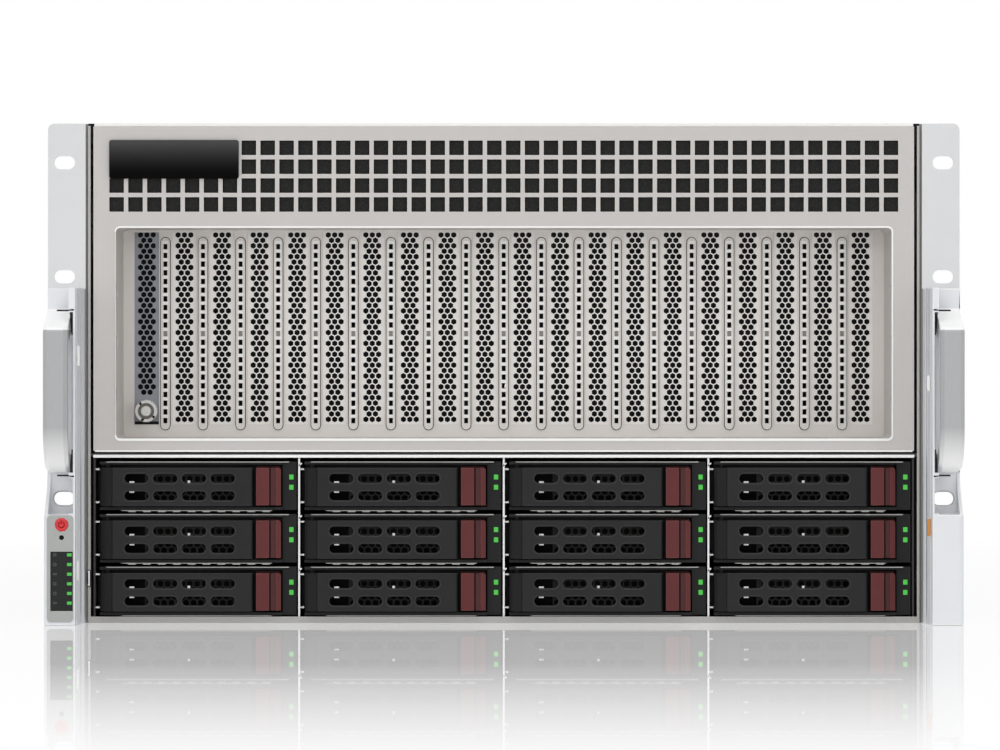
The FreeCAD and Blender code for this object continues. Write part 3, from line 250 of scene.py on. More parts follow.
FLOOR_SIZE, FLOOR_HEIGHT = 40, -0.0002
bpy.ops.object.select_all(action="DESELECT")
bpy.ops.mesh.primitive_plane_add(size=FLOOR_SIZE, location=(0, 0, FLOOR_HEIGHT))
bpy.ops.object.transform_apply(location=True, rotation=True, scale=True)
floor = bpy.context.object
floor.name = "floor"
floor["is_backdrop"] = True
lacquer = new_finish("floor_lacquer")
lacquer.surface(Base_Color=(0.9, 0.9, 0.9, 1), Roughness=0.6)
spread = lacquer.node("VectorMath", {"operation": "LENGTH"}, {0: lacquer.object_place()}, 1)
near = lacquer.ramp(spread, 1.3, 0.5, 0, 0.25, SMOOTH)
forward = lacquer.along("Y")
mirror = lacquer.ramp(forward, -1.42, -0.78, 0, 0.73) * lacquer.node("Fresnel", {}, {"IOR": 1.45})
gloss_ray = lacquer.ray("Glossy")
looked_at = lacquer.ray("Camera") | gloss_ray
far = lacquer.ramp(forward, -0.9, -2.2, kind=SMOOTH)
white = lacquer.node("Emission", {}, {"Color": 1 - DARKENING * gloss_ray * far})
matt = Shade(lacquer, lacquer.tree.nodes["Principled BSDF"].outputs[0])
pale = lacquer.node("MixShader", {}, {0: looked_at * (1 - near), 1: matt, 2: white})
glass = lacquer.node("BsdfGlossy", {}, {"Color": (1, 1, 1, 1), "Roughness": 0.015})
whole = lacquer.node("MixShader", {}, {0: mirror, 1: pale, 2: glass})
lacquer.join(whole, lacquer.tree.nodes["Material Output"].inputs["Surface"])
floor.data.materials.append(lacquer.owner)
print("floor and world ready")

# %% [markdown]
# The front is lit by a large soft box beside the camera, which reaches the bottom of the recess, and by
# weaker ones overhead and on each side that model the edges. Their power is set so that a painted face
# comes out at about the colour that was written for it. Three of them are hidden from mirrors, so that
# they leave no bright patch on black plastic or bare metal.

# %% Soft boxes
TARGET = Vector((0, -0.2, 0.14))
SOFT_BOXES = (
    ("front_box", (-0.12, -3.3, 0.4), (1.6, 0.9), 17, False),
    ("overhead_box", (0.0, -1.1, 2.3), (2.6, 1.4), 16, False),
    ("left_box", (-2.1, -2.1, 1.1), (1.2, 1.8), 6, True),
    ("right_box", (2.1, -2.1, 1.1), (1.2, 1.8), 5, True),
    ("rear_box", (0.8, 2.6, 1.3), (1.8, 1.2), 18, False),
)
for name, location, size, power, in_mirrors in SOFT_BOXES:
    light = bpy.data.lights.new(name, "AREA")
    light.shape = "RECTANGLE"
    light.size, light.size_y = size
    light.energy = power
    box = bpy.data.objects.new(name, light)
    box.location = location
    box.rotation_euler = (TARGET - Vector(location)).to_track_quat("-Z", "Y").to_euler()
    box.visible_glossy = in_mirrors
    box.visible_camera = False
    bpy.context.collection.objects.link(box)
print(len(SOFT_BOXES), "soft boxes")

# %% [markdown]
# Powder coat is sprayed as dust and baked. Close up it has a fine orange peel, and over a whole panel it
# is never quite even. A fine noise gives the bump and a broad one the tone. Each paint is a row of the
# table: its colour, then roughness, orange peel and gloss where they differ from the usual.

# %% Paints
def powder_coat(name, colour, rough=0.5, peel=0.06, gloss=0.35):
    finish = new_finish(name)
    broad = finish.noise(70, 3)
    fine = finish.noise(0.9, 1)
    dust = finish.noise(3.5, 4)
    tone = finish.blend(broad * 0.7 + dust * 0.3, tint(*colour, lift=0.955), tint(*colour, lift=1.045))
    finish.surface(
        Base_Color=tone, Roughness=rough - 0.08 + 0.16 * dust, Normal=finish.bump(fine, peel, 0.05),
        Specular_IOR_Level=gloss,
    )


PAINTS = {
    "bezel_paint": ((197, 193, 190),),
    # painted highlight: a lighter beige for rounded edges, beads, wall edges and the covers
    "painted_highlight_beige": ((238, 235, 232), 0.42, 0.02),
    "cover_paint": ((228, 224, 220), 0.45),
    "pan_paint": ((210, 206, 202),),
    # painted shade: a darker grey for the lip of the pan under the trays
    "lip_painted_shade": ((174, 172, 169),),
    # painted shadow: dark for grooves, slots, notches and fronts deep in gaps
    "painted_shadow_dark": ((70, 69, 67), 0.7, 0.02, 0.1),
    # painted shade: grey for a pocket floor, the groove of the thumbscrew and the seams of the ears
    "painted_shade_grey": ((150, 146, 141), 0.6, 0.02, 0.2),
    "ear_paint": ((215, 216, 217), 0.42),
    "casting_paint": ((226, 228, 231), 0.36, 0.04, 0.5),
    "panel_grey": ((170, 172, 170), 0.48),
    "end_cover_blue": ((154, 158, 167), 0.4),
    # painted highlight: a lighter blue for the rounded edges of the first cover
    "end_cover_painted_highlight": ((192, 196, 203), 0.4),
    # painted highlight: near white for cut edges, beads, rungs, springs, the catch and the clip
    "painted_highlight_white": ((247, 247, 246), 0.4, 0.02, 0.5),
    "screw_satin": ((224, 224, 222), 0.4),
}
for name, values in PAINTS.items():
    powder_coat(name, *values)
print(len(FINISHES), "finishes so far")

# %% [markdown]
# The box itself is zinc coated steel. Zinc freezes in flat crystals, the spangle, and each crystal reflects
# a little differently: Voronoi cells with a random grey do the same. Drawn and turned metal has no spangle
# but fine lines left by brushing, which are noise stretched along one axis.

# %% Metals
def zinc_coat(name, colour, spangle, rough):
    finish = new_finish(name)
    bent = finish.noise(9, 2)
    sockets = {0: finish.object_place(), 1: bent * 0.004}
    where = finish.node("VectorMath", {"operation": "ADD"}, sockets)
    cells = finish.node("TexVoronoi", {}, {"Vector": where, "Scale": 1 / (spangle * MM)}, "Color")
    grey = finish.node("SeparateColor", {}, {0: cells})
    cloud = finish.noise(60, 3)
    tone = finish.blend(grey * 0.6 + cloud * 0.4, tint(*colour, lift=0.84), tint(*colour, lift=1.1))
    finish.surface(
        Base_Color=tone, Metallic=0.85, Roughness=rough + 0.14 * grey, Normal=finish.bump(cloud, 0.05, 0.3)
    )


def brushed_metal(name, colour, stretch, rough):
    finish = new_finish(name)
    streak = finish.noise(0.35, 3, stretch)
    smear = finish.noise(25, 2)
    tone = finish.blend(streak, tint(*colour, lift=0.93), tint(*colour, lift=1.05))
    finish.surface(
        Base_Color=tone, Metallic=1.0, Roughness=rough + 0.1 * streak + 0.06 * smear,
        Normal=finish.bump(streak, 0.05, 0.02),
    )


zinc_coat("chassis_zinc", (196, 197, 198), 7.0, 0.36)
zinc_coat("cage_zinc", (150, 151, 153), 5.0, 0.36)
zinc_coat("supply_zinc", (186, 188, 190), 4.0, 0.3)
brushed_metal("spring_steel", (214, 213, 210), (0.1, 1, 1), 0.3)
brushed_metal("bar_silver", (237, 239, 242), (1, 1, 0.06), 0.34)
brushed_metal("turned_nickel", (226, 225, 222), (1, 0.1, 1), 0.22)
brushed_metal("drive_silver", (168, 170, 173), (1, 0.08, 1), 0.38)
print(len(FINISHES), "finishes so far")

# %% [markdown]
# The trays are moulded from black plastic with a spark eroded grain, which is a dense bump of about a third
# of a millimetre. Plastic shines only a little, so its specular level is low: in a white room a full one
# would lift the black to grey. The red press tabs are the same plastic with pigment. A row of the table is
# the colour, then roughness, grain and gloss.

# %% Plastics
def moulded(name, colour, rough=0.5, grain=0.35, gloss=0.2):
    finish = new_finish(name)
    sparks = finish.noise(grain, 2)
    flow = finish.noise(22, 3)
    tone = finish.blend(flow, tint(*colour, lift=0.86), tint(*colour, lift=1.12))
    finish.surface(
        Base_Color=tone, Roughness=rough - 0.06 + 0.12 * sparks, Normal=finish.bump(sparks, 0.12, 0.04),
        Specular_IOR_Level=gloss,
    )


PLASTICS = {
    "tray_black": ((36, 36, 37), 0.55),
    "lever_black": ((41, 41, 42),),
    "barrel_black": ((29, 29, 30), 0.55),
    # painted highlight: a lighter black for the rounded edges of the levers
    "lever_painted_highlight": ((70, 70, 71), 0.45),
    "grille_grey": ((62, 61, 59),),
    "tab_red": ((97, 46, 47), 0.5, 0.3, 0.25),
    # the next three: a darker red for painted shade, a lighter red for painted highlight, a dark red for
    # painted shadow
    "tab_painted_shade": ((75, 42, 44), 0.5, 0.3, 0.25),
    "tab_painted_highlight": ((124, 76, 74), 0.45, 0.3, 0.25),
    "tab_painted_shadow": ((44, 24, 25), 0.6, 0.3, 0.1),
    "button_red": ((222, 50, 56), 0.32, 0.5, 0.5),
    "mark_red": ((84, 10, 14),),
    # black of buttons, pins and foam, also used as painted shadow on fronts deep in gaps
    "button_black": ((16, 16, 16), 0.4),
    "fan_black": ((27, 27, 28), 0.5, 0.5),
    "grip_black": ((24, 24, 25), 0.6),
    # white of the inserts; the two at the left are a painted highlight
    "white_insert_and_painted_highlight": ((252, 252, 252), 0.35, 0.5, 0.4),
    "insert_orange": ((222, 150, 70), 0.4, 0.5, 0.4),
    "status_glass": ((33, 34, 35), 0.22, 4.0, 0.4),
    "icon_grey": ((104, 106, 108),),
    "card_black": ((20, 20, 21), 0.45),
}
for name, values in PLASTICS.items():
    moulded(name, *values)
print(len(FINISHES), "finishes so far")

# %% [markdown]
# A few surfaces need something of their own: the open foam of the dust filter, the brushed black of the
# bare plate, darker at the bottom and grey towards the top as a painted reflection, the satin grip bar with
# its bends painted white as a painted highlight, the green lamps and the lacquered boards inside the box.

# %% Special finishes
foam = new_finish("filter_foam")
sockets = {"Vector": foam.object_place(), "Scale": 1 / (0.8 * MM)}
cells = foam.node("TexVoronoi", {}, sockets, "Distance")
foam.surface(
    Base_Color=foam.blend(cells, tint(34, 34, 34), tint(54, 54, 53)), Roughness=0.85,
    Normal=foam.bump(cells, 0.5, 0.3), Specular_IOR_Level=0.1,
)

plate = new_finish("plate_black_painted_reflection")
hairline = plate.noise(0.3, 4, (0.03, 1, 1))
cloud = plate.noise(18, 2)
# painted reflection: the colour goes from near black at the bottom of the plate to grey at its top
rise = plate.ramp(plate.along("Z"), 237 * MM, 256 * MM)
plate.surface(
    Base_Color=plate.blend(rise * rise * (0.8 + 0.4 * hairline), tint(8, 8, 8), tint(78, 78, 79)),
    Roughness=0.36 + 0.12 * hairline + 0.06 * cloud, Normal=plate.bump(hairline, 0.08, 0.02),
    Specular_IOR_Level=0.05,
)

satin = new_finish("grip_satin_painted_highlight")
streak = satin.noise(0.4, 3, (1, 1, 0.05))
up = satin.along("Z")
# painted highlight: the upper slope and the lower bend of the bar are painted white by height
ends = satin.ramp(up, 154.6 * MM, 155.2 * MM) + satin.ramp(up, 104 * MM, 84 * MM)
grey = satin.blend(streak, tint(168, 169, 170), tint(180, 181, 182))
satin.surface(
    Base_Color=satin.blend(ends, grey, tint(252, 252, 252)), Roughness=0.4 + 0.1 * streak,
    Normal=satin.bump(streak, 0.05, 0.02), Specular_IOR_Level=0.3,
)

GREEN = (72, 182, 70)
lamp = new_finish("green_lamp")
glow = lamp.blend(lamp.noise(0.6, 2), tint(*GREEN, lift=0.85), tint(*GREEN, lift=1.15))
lamp.surface(Base_Color=tint(*GREEN, lift=0.25), Roughness=0.3, Emission_Color=glow, Emission_Strength=0.9)

lacquered = new_finish("board_green")
sockets = {"Vector": lacquered.object_place(), "Scale": 220.0, "Mortar Size": 0.05}
tracks = lacquered.node("TexBrick", {"offset": 0.5}, sockets, "Fac")
cloud = lacquered.noise(12, 3)
lacquered.surface(
    Base_Color=lacquered.blend(tracks * 0.6 + cloud * 0.2, tint(22, 66, 44), tint(52, 110, 70)),
    Roughness=0.35 + 0.1 * cloud, Normal=lacquered.bump(tracks, 0.1, 0.05),
)
print(len(FINISHES), "finishes in all")

# %% [markdown]
# Each piece starts as a primitive at its size and place and is worked on in edit mode. The helpers below do
# what the hand does in the window: select one piece, pick faces or edges by where they are, cut with
# another piece, round the edges over, and make copies.

# %% Helpers for the bench
AXIS_TURN = {"X": (0, math.pi / 2, 0), "Y": (math.pi / 2, 0, 0), "Z": (0, 0, 0)}


def work_on(piece):
    """Leaves only this piece selected and active."""
    bpy.ops.object.select_all(action="DESELECT")
    piece.select_set(True)
    bpy.context.view_layer.objects.active = piece


def newly_made(name):
    bpy.ops.object.transform_apply(location=True, rotation=True, scale=True)
    piece = bpy.context.object
    piece.name = name
    piece.data.name = name
    return piece


def block(name, low, high, at=(0, 0, 0)):
    """A cube stretched between two corners in millimetres, counted from a place."""
    first, last = (spot(*(a + b for a, b in zip(at, corner))) for corner in (low, high))
    bpy.ops.object.select_all(action="DESELECT")
    bpy.ops.mesh.primitive_cube_add(size=1, location=(first + last) / 2, scale=last - first)
    return newly_made(name)


def rod(name, middle, radius, length, sides=32, axis="Y"):
    """A cylinder about its middle, in millimetres, along one axis."""
    bpy.ops.object.select_all(action="DESELECT")
    bpy.ops.mesh.primitive_cylinder_add(
        vertices=sides, radius=radius * MM, depth=length * MM, location=spot(*middle),
        rotation=AXIS_TURN[axis],
    )
    return newly_made(name)


def pick(piece, kind, wanted):
    """Opens a piece in edit mode with only the FACEs, EDGEs or VERTs that wanted() accepts."""
    work_on(piece)
    bpy.ops.object.mode_set(mode="EDIT")
    bpy.ops.mesh.select_mode(type=kind)
    bpy.ops.mesh.select_all(action="DESELECT")
    bpy.ops.object.mode_set(mode="OBJECT")
    mesh = piece.data
    for item in {"FACE": mesh.polygons, "EDGE": mesh.edges, "VERT": mesh.vertices}[kind]:
        item.select = wanted(item)
    bpy.ops.object.mode_set(mode="EDIT")


def leave():
    bpy.ops.object.mode_set(mode="OBJECT")


def facing_front(face):
    return face.normal.y < -0.9


def push(*shift):
    """Extrudes what is picked by a shift in millimetres."""
    bpy.ops.mesh.extrude_region_move(TRANSFORM_OT_translate={"value": [value * MM for value in shift]})


def sink(piece, wanted, margin, *shift):
    """Insets the faces that wanted() accepts, and pushes what is inside the margin."""
    pick(piece, "FACE", wanted)
    bpy.ops.mesh.inset(thickness=margin * MM)
    push(*shift)
    leave()


def bevel_edges(piece, wanted, offset, segments):
    """Bevels the edges for which wanted(direction, middle in millimetres) is true."""

    def test(edge):
        start, end = (piece.data.vertices[index].co for index in edge.vertices)
        return wanted((end - start).normalized(), place((start + end) / 2))

    pick(piece, "EDGE", test)
    bpy.ops.mesh.bevel(offset=offset * MM, segments=segments, affect="EDGES")
    leave()


def weld(piece, gap):
    """Opens a piece in edit mode with all of it picked and corners closer than a gap merged."""
    work_on(piece)
    bpy.ops.object.mode_set(mode="EDIT")
    bpy.ops.mesh.select_all(action="SELECT")
    bpy.ops.mesh.remove_doubles(threshold=gap * MM)


def slab(name, low, high, corner, segments=5, at=(0, 0, 0)):
    """A block whose four corners, seen from the front, are rounded."""
    piece = block(name, low, high, at)
    bevel_edges(piece, lambda run, middle: abs(run.y) > 0.9, corner, segments)
    weld(piece, 0.002)
    leave()
    return piece


def apply_modifier(piece, modifier):
    work_on(piece)
    bpy.ops.object.modifier_apply(modifier=modifier.name)


def row_of(piece, count, step):
    """Repeats a piece in a row; step is in millimetres."""
    row = piece.modifiers.new("row", "ARRAY")
    row.count = count
    row.use_relative_offset = False
    row.use_constant_offset = True
    row.constant_offset_displace = [value * MM for value in step]
    apply_modifier(piece, row)
    return piece


def carve(piece, *cutters):
    """Cuts the shapes of the cutters out of a piece and clears them away."""
    for cutter in cutters:
        cut = piece.modifiers.new("carve", "BOOLEAN")
        cut.operation = "DIFFERENCE"
        cut.solver = "EXACT"
        cut.object = cutter
        apply_modifier(piece, cut)
        bpy.data.objects.remove(cutter)
    return piece


def gather(name, pieces):
    """Joins several pieces into one object."""
    work_on(pieces[0])
    for piece in pieces:
        piece.select_set(True)
    bpy.ops.object.join()
    pieces[0].name = name
    pieces[0].data.name = name
    return pieces[0]


def keep_flats(piece):
    """Shades round edges smooth and large faces flat, also after a cut."""
    work_on(piece)
    bpy.ops.mesh.customdata_custom_splitnormals_clear()
    bpy.ops.object.shade_smooth_by_angle(angle=math.radians(50))
    flats = piece.modifiers.new("flats", "WEIGHTED_NORMAL")
    flats.keep_sharp = True
    apply_modifier(piece, flats)
    return piece


def round_over(piece, width, segments=2, edge_slot=-1):
    """Rounds the edges that turn by more than 35 degrees, and keeps the flats flat."""
    bevel = piece.modifiers.new("round_over", "BEVEL")
    bevel.width = width * MM
    bevel.segments = segments
    bevel.material = edge_slot
    bevel.limit_method = "ANGLE"
    bevel.angle_limit = math.radians(35)
    apply_modifier(piece, bevel)
    return keep_flats(piece)


def coat(piece, *finishes):
    """Takes the finishes off a piece and gives it these."""
    piece.data.materials.clear()
    for finish in finishes:
        piece.data.materials.append(FINISHES[finish].owner)
    return piece


def edge_over(piece, finish, edge_finish, width, segments=1):
    """Rounds a piece over and gives the rounded edges a lighter finish of their own, a painted highlight."""
    return round_over(coat(piece, finish, edge_finish), width, segments, 1)


def paint(piece, finish, wanted):
    """Gives the faces that wanted(place, normal) accepts a finish of their own."""
    piece.data.materials.append(FINISHES[finish].owner)
    index = len(piece.data.materials) - 1
    for face in piece.data.polygons:
        if wanted(place(face.center), face.normal):
            face.material_index = index


def twin(piece, name, shift):
    """Another example of a piece, with its own mesh, moved by a shift in millimetres."""
    mesh = piece.data.copy()
    mesh.name = name
    mesh.transform(Matrix.Translation(Vector(shift) * MM))
    other = bpy.data.objects.new(name, mesh)
    bpy.context.collection.objects.link(other)
    return other


def settle(piece, finish, body="chassis", nodes=()):
    """Gives a piece its finish and its body, and hides the nodes it stands for."""
    if finish:
        coat(piece, finish)
    if nodes:
        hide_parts(*nodes)
    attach(piece, body)
    return piece


NUMBERS = {"drive_tray": [f"{number:02d}" for number in range(1, 13)], "power_supply": ["1", "2", "3", "4"]}


def on_every(carrier, model, name, body, dressed=False):
    """Settles a model on the first tray or supply, and twins of it on the others."""
    numbers = NUMBERS[carrier]
    for number in numbers:
        node = f"{name}_{number}"
        piece = model
        if number != numbers[0]:
            shift = shift_between(f"{carrier}_{numbers[0]}", f"{carrier}_{number}")
            piece = twin(model, node + "_dressed" if dressed else node, shift)
        settle(piece, None, f"{body}_{number}", [node] if dressed else [])


print("helpers ready")

# %% [markdown]
# A solid from the frame has perfectly sharp edges, and nothing real has those: a bent or cast edge is a
# thin bright line. So most nodes are shown as a copy whose loose triangles are merged, whose flat faces are
# made whole again, and whose edges are then rounded by a few tenths of a millimetre. The rounded faces can
# have a lighter finish, which is a painted highlight. The flange of the bezel, deep in the gap beside it, is
# painted black as painted shadow.

# %% Eased copies of the solids
def eased(node, width, segments=2):
    name = node + "_dressed"
    piece = bpy.data.objects.new(name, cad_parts[node].data.copy())
    piece.data.name = name
    bpy.context.collection.objects.link(piece)
    work_on(piece)
    bpy.ops.mesh.customdata_custom_splitnormals_clear()
    weld(piece, 0.005)
    bpy.ops.mesh.dissolve_limited(angle_limit=math.radians(1))
    leave()
    return round_over(piece, width, segments) if width else piece


# painted highlight: the rounded edges of the bezel are a lighter beige
bezel = edge_over(eased("front_bezel", 0), "bezel_paint", "painted_highlight_beige", 0.28, 2)
# painted shadow: the flange tabs in the gap beside the bezel are black
paint(bezel, "button_black", lambda point, normal: abs(point[0]) > 217.1 and point[1] > 2.4)
settle(bezel, None, nodes=["front_bezel"])
print("bezel has", len(bezel.data.polygons), "faces")

# %% [markdown]
# Round the window the sheet is rolled over, which shows as a thin bright line: the bead is painted near
# white as a painted highlight, and at its left side it keeps the darker bezel paint as painted shade. It is
# a flat ring with round corners, cut out of a slightly larger slab and rounded over until only a bead is
# left. The lower edge of the bezel has a straight bead of the same kind, also painted near white as a
# painted highlight.

# %% Rolled edge of the window
WINDOW_LOW, WINDOW_HIGH = extent("gpu_slot_panel")
WINDOW_LEFT, WINDOW_RIGHT = WINDOW_LOW[0] + SHEET, WINDOW_HIGH[0] - SHEET
WINDOW_BOTTOM, WINDOW_TOP = 97.7, WINDOW_HIGH[2] - SHEET
WINDOW_CORNER = 2.5
rolled_edge = slab(
    "window_rolled_edge", (WINDOW_LEFT - 0.5, -0.5, WINDOW_BOTTOM - 1.35),
    (WINDOW_RIGHT + 0.6, 0.3, WINDOW_TOP + 0.45), WINDOW_CORNER + 0.5,
)
window_cut = slab(
    "window_cut", (WINDOW_LEFT + 0.3, -2, WINDOW_BOTTOM - 0.1), (WINDOW_RIGHT - 0.3, 3, WINDOW_TOP - 0.45),
    WINDOW_CORNER - 0.3,
)
# painted highlight: the bead is near white; painted shade: its left side keeps the bezel paint
settle(round_over(carve(rolled_edge, window_cut), 0.3, 3), "painted_highlight_white")
left_side = WINDOW_LEFT + 0.6
paint(rolled_edge, "bezel_paint", lambda point, normal: point[0] < left_side and 101 < point[2] < 206)
BEZEL_BOTTOM = (0, 0, extent("front_bezel")[0][2])
lower_bead = block("bezel_lower_bead", (-216.4, -0.3, -0.55), (216.4, 0.3, 0.35), BEZEL_BOTTOM)
# painted highlight: the lower bead is near white
settle(round_over(lower_bead, 0.2, 3), "painted_highlight_white")
print("window", round(WINDOW_RIGHT - WINDOW_LEFT, 1), "by", round(WINDOW_TOP - WINDOW_BOTTOM, 1), "mm")

# %% [markdown]
# Behind the square holes of the grid lies a dark foam filter in a shallow frame. Over the upper left corner
# of the grid sits a flat plate with a brushed black face, left bare.

# %% Dust filter and bare plate
filter_pad = block("dust_filter", (-214, 2.2, 213), (214, 9, 260.5))
sink(filter_pad, facing_front, 2.5, 0, 0.4, 0)
settle(round_over(filter_pad, 0.3), "filter_foam")
bare_plate = slab("bare_plate", (-208.8, -1.6, 235.2), (-140.3, 0.05, 255.7), 1.3)
sink(bare_plate, facing_front, 0.7, 0, 0.15, 0)
settle(round_over(bare_plate, 0.25), "plate_black_painted_reflection")
print("filter and plate ready")

# %% [markdown]
# The card slots are in a panel 60 mm behind the window, at the bottom of an open box. The box is a block
# with a rounded slab cut out of it. Its back is then cut for twenty card slots, and for a row of small
# openings under each rib, and each rib gets a seat that is a little wider than the rib and painted dark as
# painted shadow, so that a dark line runs round it. Three clip holes in each side wall show as dark marks,
# and two feet stand on the shelf.

# %% Slot panel
PANEL_FRONT, PANEL_BACK = WINDOW_LOW[1], 61.2
PANEL_FACE = PANEL_BACK - SHEET
SLOT_PITCH, SLOT_COUNT, SLOT_WIDTH = 20.32, 20, 13.2
FIRST_SLOT = -SLOT_PITCH * (SLOT_COUNT - 1) / 2
SLOT_BOTTOM, SLOT_TOP = 104.5, WINDOW_TOP - SHEET
RIB_X = FIRST_SLOT + SLOT_PITCH / 2
RIB_BOTTOM, RIB_TOP, RIB_HALF = 101.8, 205.5, 4.8 / 2
RIB_MIDDLE = (RIB_BOTTOM + RIB_TOP) / 2
RIB_SEAT, SEAT_DEPTH = 0.4, 0.9
RUNG_PITCH, RUNG_COUNT = 4.7, 21
RUNG_FIRST = RIB_MIDDLE - RUNG_PITCH * (RUNG_COUNT - 1) / 2
TOOTH_WIDTH, TOOTH_HEIGHT = 2.1, 2.9
CLIP_HEIGHTS = (176, 149, 121)
SHELF_TOP = extent("drive_cage")[1][2]


def tooth(front, back, z):
    """A cutter for one small opening of a rib."""
    wide, tall = TOOTH_WIDTH / 2, TOOTH_HEIGHT / 2
    return block("tooth", (-wide, front, -tall), (wide, back, tall), (RIB_X, 0, z))


def tooth_cutters(front, back):
    """Cutters for all openings of one rib but the middle one, which stays closed."""
    side = (RUNG_COUNT - 1) // 2
    starts = (RUNG_FIRST, RUNG_FIRST + (side + 1) * RUNG_PITCH)
    return gather("teeth", [row_of(tooth(front, back, z), side, (0, 0, RUNG_PITCH)) for z in starts])


def capsule(name, front, back, grow):
    """The upright outline of a rib, or a larger one for its seat."""
    wide = RIB_HALF + grow
    low, high = (-wide, front, RIB_BOTTOM - grow), (wide, back, RIB_TOP + grow)
    return slab(name, low, high, wide - 0.01, at=(RIB_X, 0, 0))


def in_rib_seat(point, normal):
    from_rib = (point[0] - RIB_X + SLOT_PITCH / 2) % SLOT_PITCH - SLOT_PITCH / 2
    return abs(from_rib) < 3.1 and PANEL_FACE + 0.15 < point[1] < PANEL_BACK - 0.05


panel_bottom = WINDOW_BOTTOM - SHEET
panel = block(
    "slot_panel", (WINDOW_LOW[0], PANEL_FRONT, panel_bottom), (WINDOW_HIGH[0], PANEL_BACK, WINDOW_HIGH[2])
)
recess = slab(
    "recess", (WINDOW_LEFT, PANEL_FRONT - 5, WINDOW_BOTTOM), (WINDOW_RIGHT, PANEL_FACE, WINDOW_TOP),
    WINDOW_CORNER,
)
carve(panel, recess)
card_slot = block(
    "card_slot", (-SLOT_WIDTH / 2, PANEL_FACE - 1, SLOT_BOTTOM), (SLOT_WIDTH / 2, PANEL_BACK + 1, SLOT_TOP),
    (FIRST_SLOT, 0, 0),
)
row_of(card_slot, SLOT_COUNT, (SLOT_PITCH, 0, 0))
teeth = row_of(tooth_cutters(PANEL_FACE - 1, PANEL_BACK + 1), SLOT_COUNT - 1, (SLOT_PITCH, 0, 0))
carve(panel, gather("panel_cuts", [card_slot, teeth]))
seat = capsule("rib_seat", PANEL_FACE - 1, PANEL_FACE + SEAT_DEPTH, RIB_SEAT)
carve(panel, row_of(seat, SLOT_COUNT - 1, (SLOT_PITCH, 0, 0)))
for height in CLIP_HEIGHTS:
    carve(panel, block("clip_hole", (-220, 5, height - 3), (220, 16, height + 3)))
feet = [
    block("pan_foot", (left, 50, SHELF_TOP), (left + 20, PANEL_BACK, panel_bottom)) for left in (-200, 180)
]
round_over(gather("slot_panel", [panel] + feet), 0.18)
settle(panel, "pan_paint", nodes=["gpu_slot_panel"])
paint(panel, "cover_paint", lambda point, normal: normal.y < -0.9 and abs(point[1] - PANEL_FACE) < 0.1)
# painted shadow: the seat round each rib is dark
paint(panel, "painted_shadow_dark", in_rib_seat)
print("slot panel has", len(panel.data.polygons), "faces")

# %% [markdown]
# Between the slots stand ribs like small ladders: a capsule with a row of openings and a raised rung above
# each of them, painted near white as a painted highlight. The rounded edges of the rib are a lighter beige as
# a painted highlight, and the floor of the closed middle opening is grey as painted shade. One rib is
# modelled and the other eighteen are copies of it.

# %% Ribs between the slots
RIB_FRONT, RUNG_FRONT = PANEL_FACE - 1.6, PANEL_FACE - 2.0
RUNG_WIDTH, RUNG_HEIGHT = 3.0, 1.75


def along_slots(model, name, first, last):
    """Twins of a model at the slots that follow the first."""
    for number in range(first + 1, last + 1):
        copy = twin(model, f"{name}_{number:02d}", ((number - first) * SLOT_PITCH, 0, 0))
        settle(copy, None)


rib = capsule("rib_01", RIB_FRONT, PANEL_FACE + SEAT_DEPTH, 0)
carve(rib, tooth(RIB_FRONT - 1, RIB_FRONT + 0.9, RIB_MIDDLE))
carve(rib, tooth_cutters(RIB_FRONT - 1, PANEL_BACK))
# painted highlight: the rounded edges of the rib are a lighter beige
edge_over(rib, "cover_paint", "painted_highlight_beige", 0.2, 2)
# painted shade: the floor of the closed middle opening is grey
paint(rib, "painted_shade_grey", lambda point, normal: normal.y < -0.9 and RIB_FRONT + 0.5 < point[1] < PANEL_FACE)
rungs = block(
    "rungs", (-RUNG_WIDTH / 2, RUNG_FRONT, -RUNG_HEIGHT / 2),
    (RUNG_WIDTH / 2, RIB_FRONT + 0.2, RUNG_HEIGHT / 2), (RIB_X, 0, RUNG_FIRST + RUNG_PITCH / 2),
)
# painted highlight: the rungs are near white
round_over(row_of(coat(rungs, "painted_highlight_white"), RUNG_COUNT, (0, 0, RUNG_PITCH)), 0.12)
settle(gather("rib_01", [rib, rungs]), None)
along_slots(rib, "rib", 1, SLOT_COUNT - 1)
print(SLOT_COUNT - 1, "ribs of", len(rib.data.polygons), "faces")

# %% [markdown]
# Each slot is closed by a strip with a honeycomb of holes, three and two in a row. A six sided rod is
# repeated with Array modifiers and cut out in one go. The first strip is another kind: blue grey, with
# fewer rows of holes and a step at its head, because a thumbscrew holds it. A foam strip behind the heads
# of the covers keeps the air from going round the cards.

# %% Perforated covers
HEX_RADIUS, HEX_PITCH, HEX_ROW, HEX_TOP = 1.62, 3.44, 2.935, 207.1
COVER_LOW, COVER_HIGH = extent("slot_covers")
COVER_FRONT, COVER_BACK = COVER_LOW[1], COVER_HIGH[1]
COVER_HALF = 16.6 / 2
SCREW_X, SCREW_Z = FIRST_SLOT, 111.8
AT_FIRST = (FIRST_SLOT, 0, 0)


def honeycomb(x, rows):
    """Cutters for rows of three and two holes, from the top down."""
    middle = (COVER_FRONT + COVER_BACK) / 2
    cutters = []
    for start, across in ((0, 3), (1, 2)):
        left = x - HEX_PITCH * (across - 1) / 2
        cutter = rod("hole", (left, middle, HEX_TOP - start * HEX_ROW), HEX_RADIUS, 6, 6)
        row_of(cutter, across, (HEX_PITCH, 0, 0))
        cutters.append(row_of(cutter, (rows - start + 1) // 2, (0, 0, -2 * HEX_ROW)))
    return gather("honeycomb", cutters)


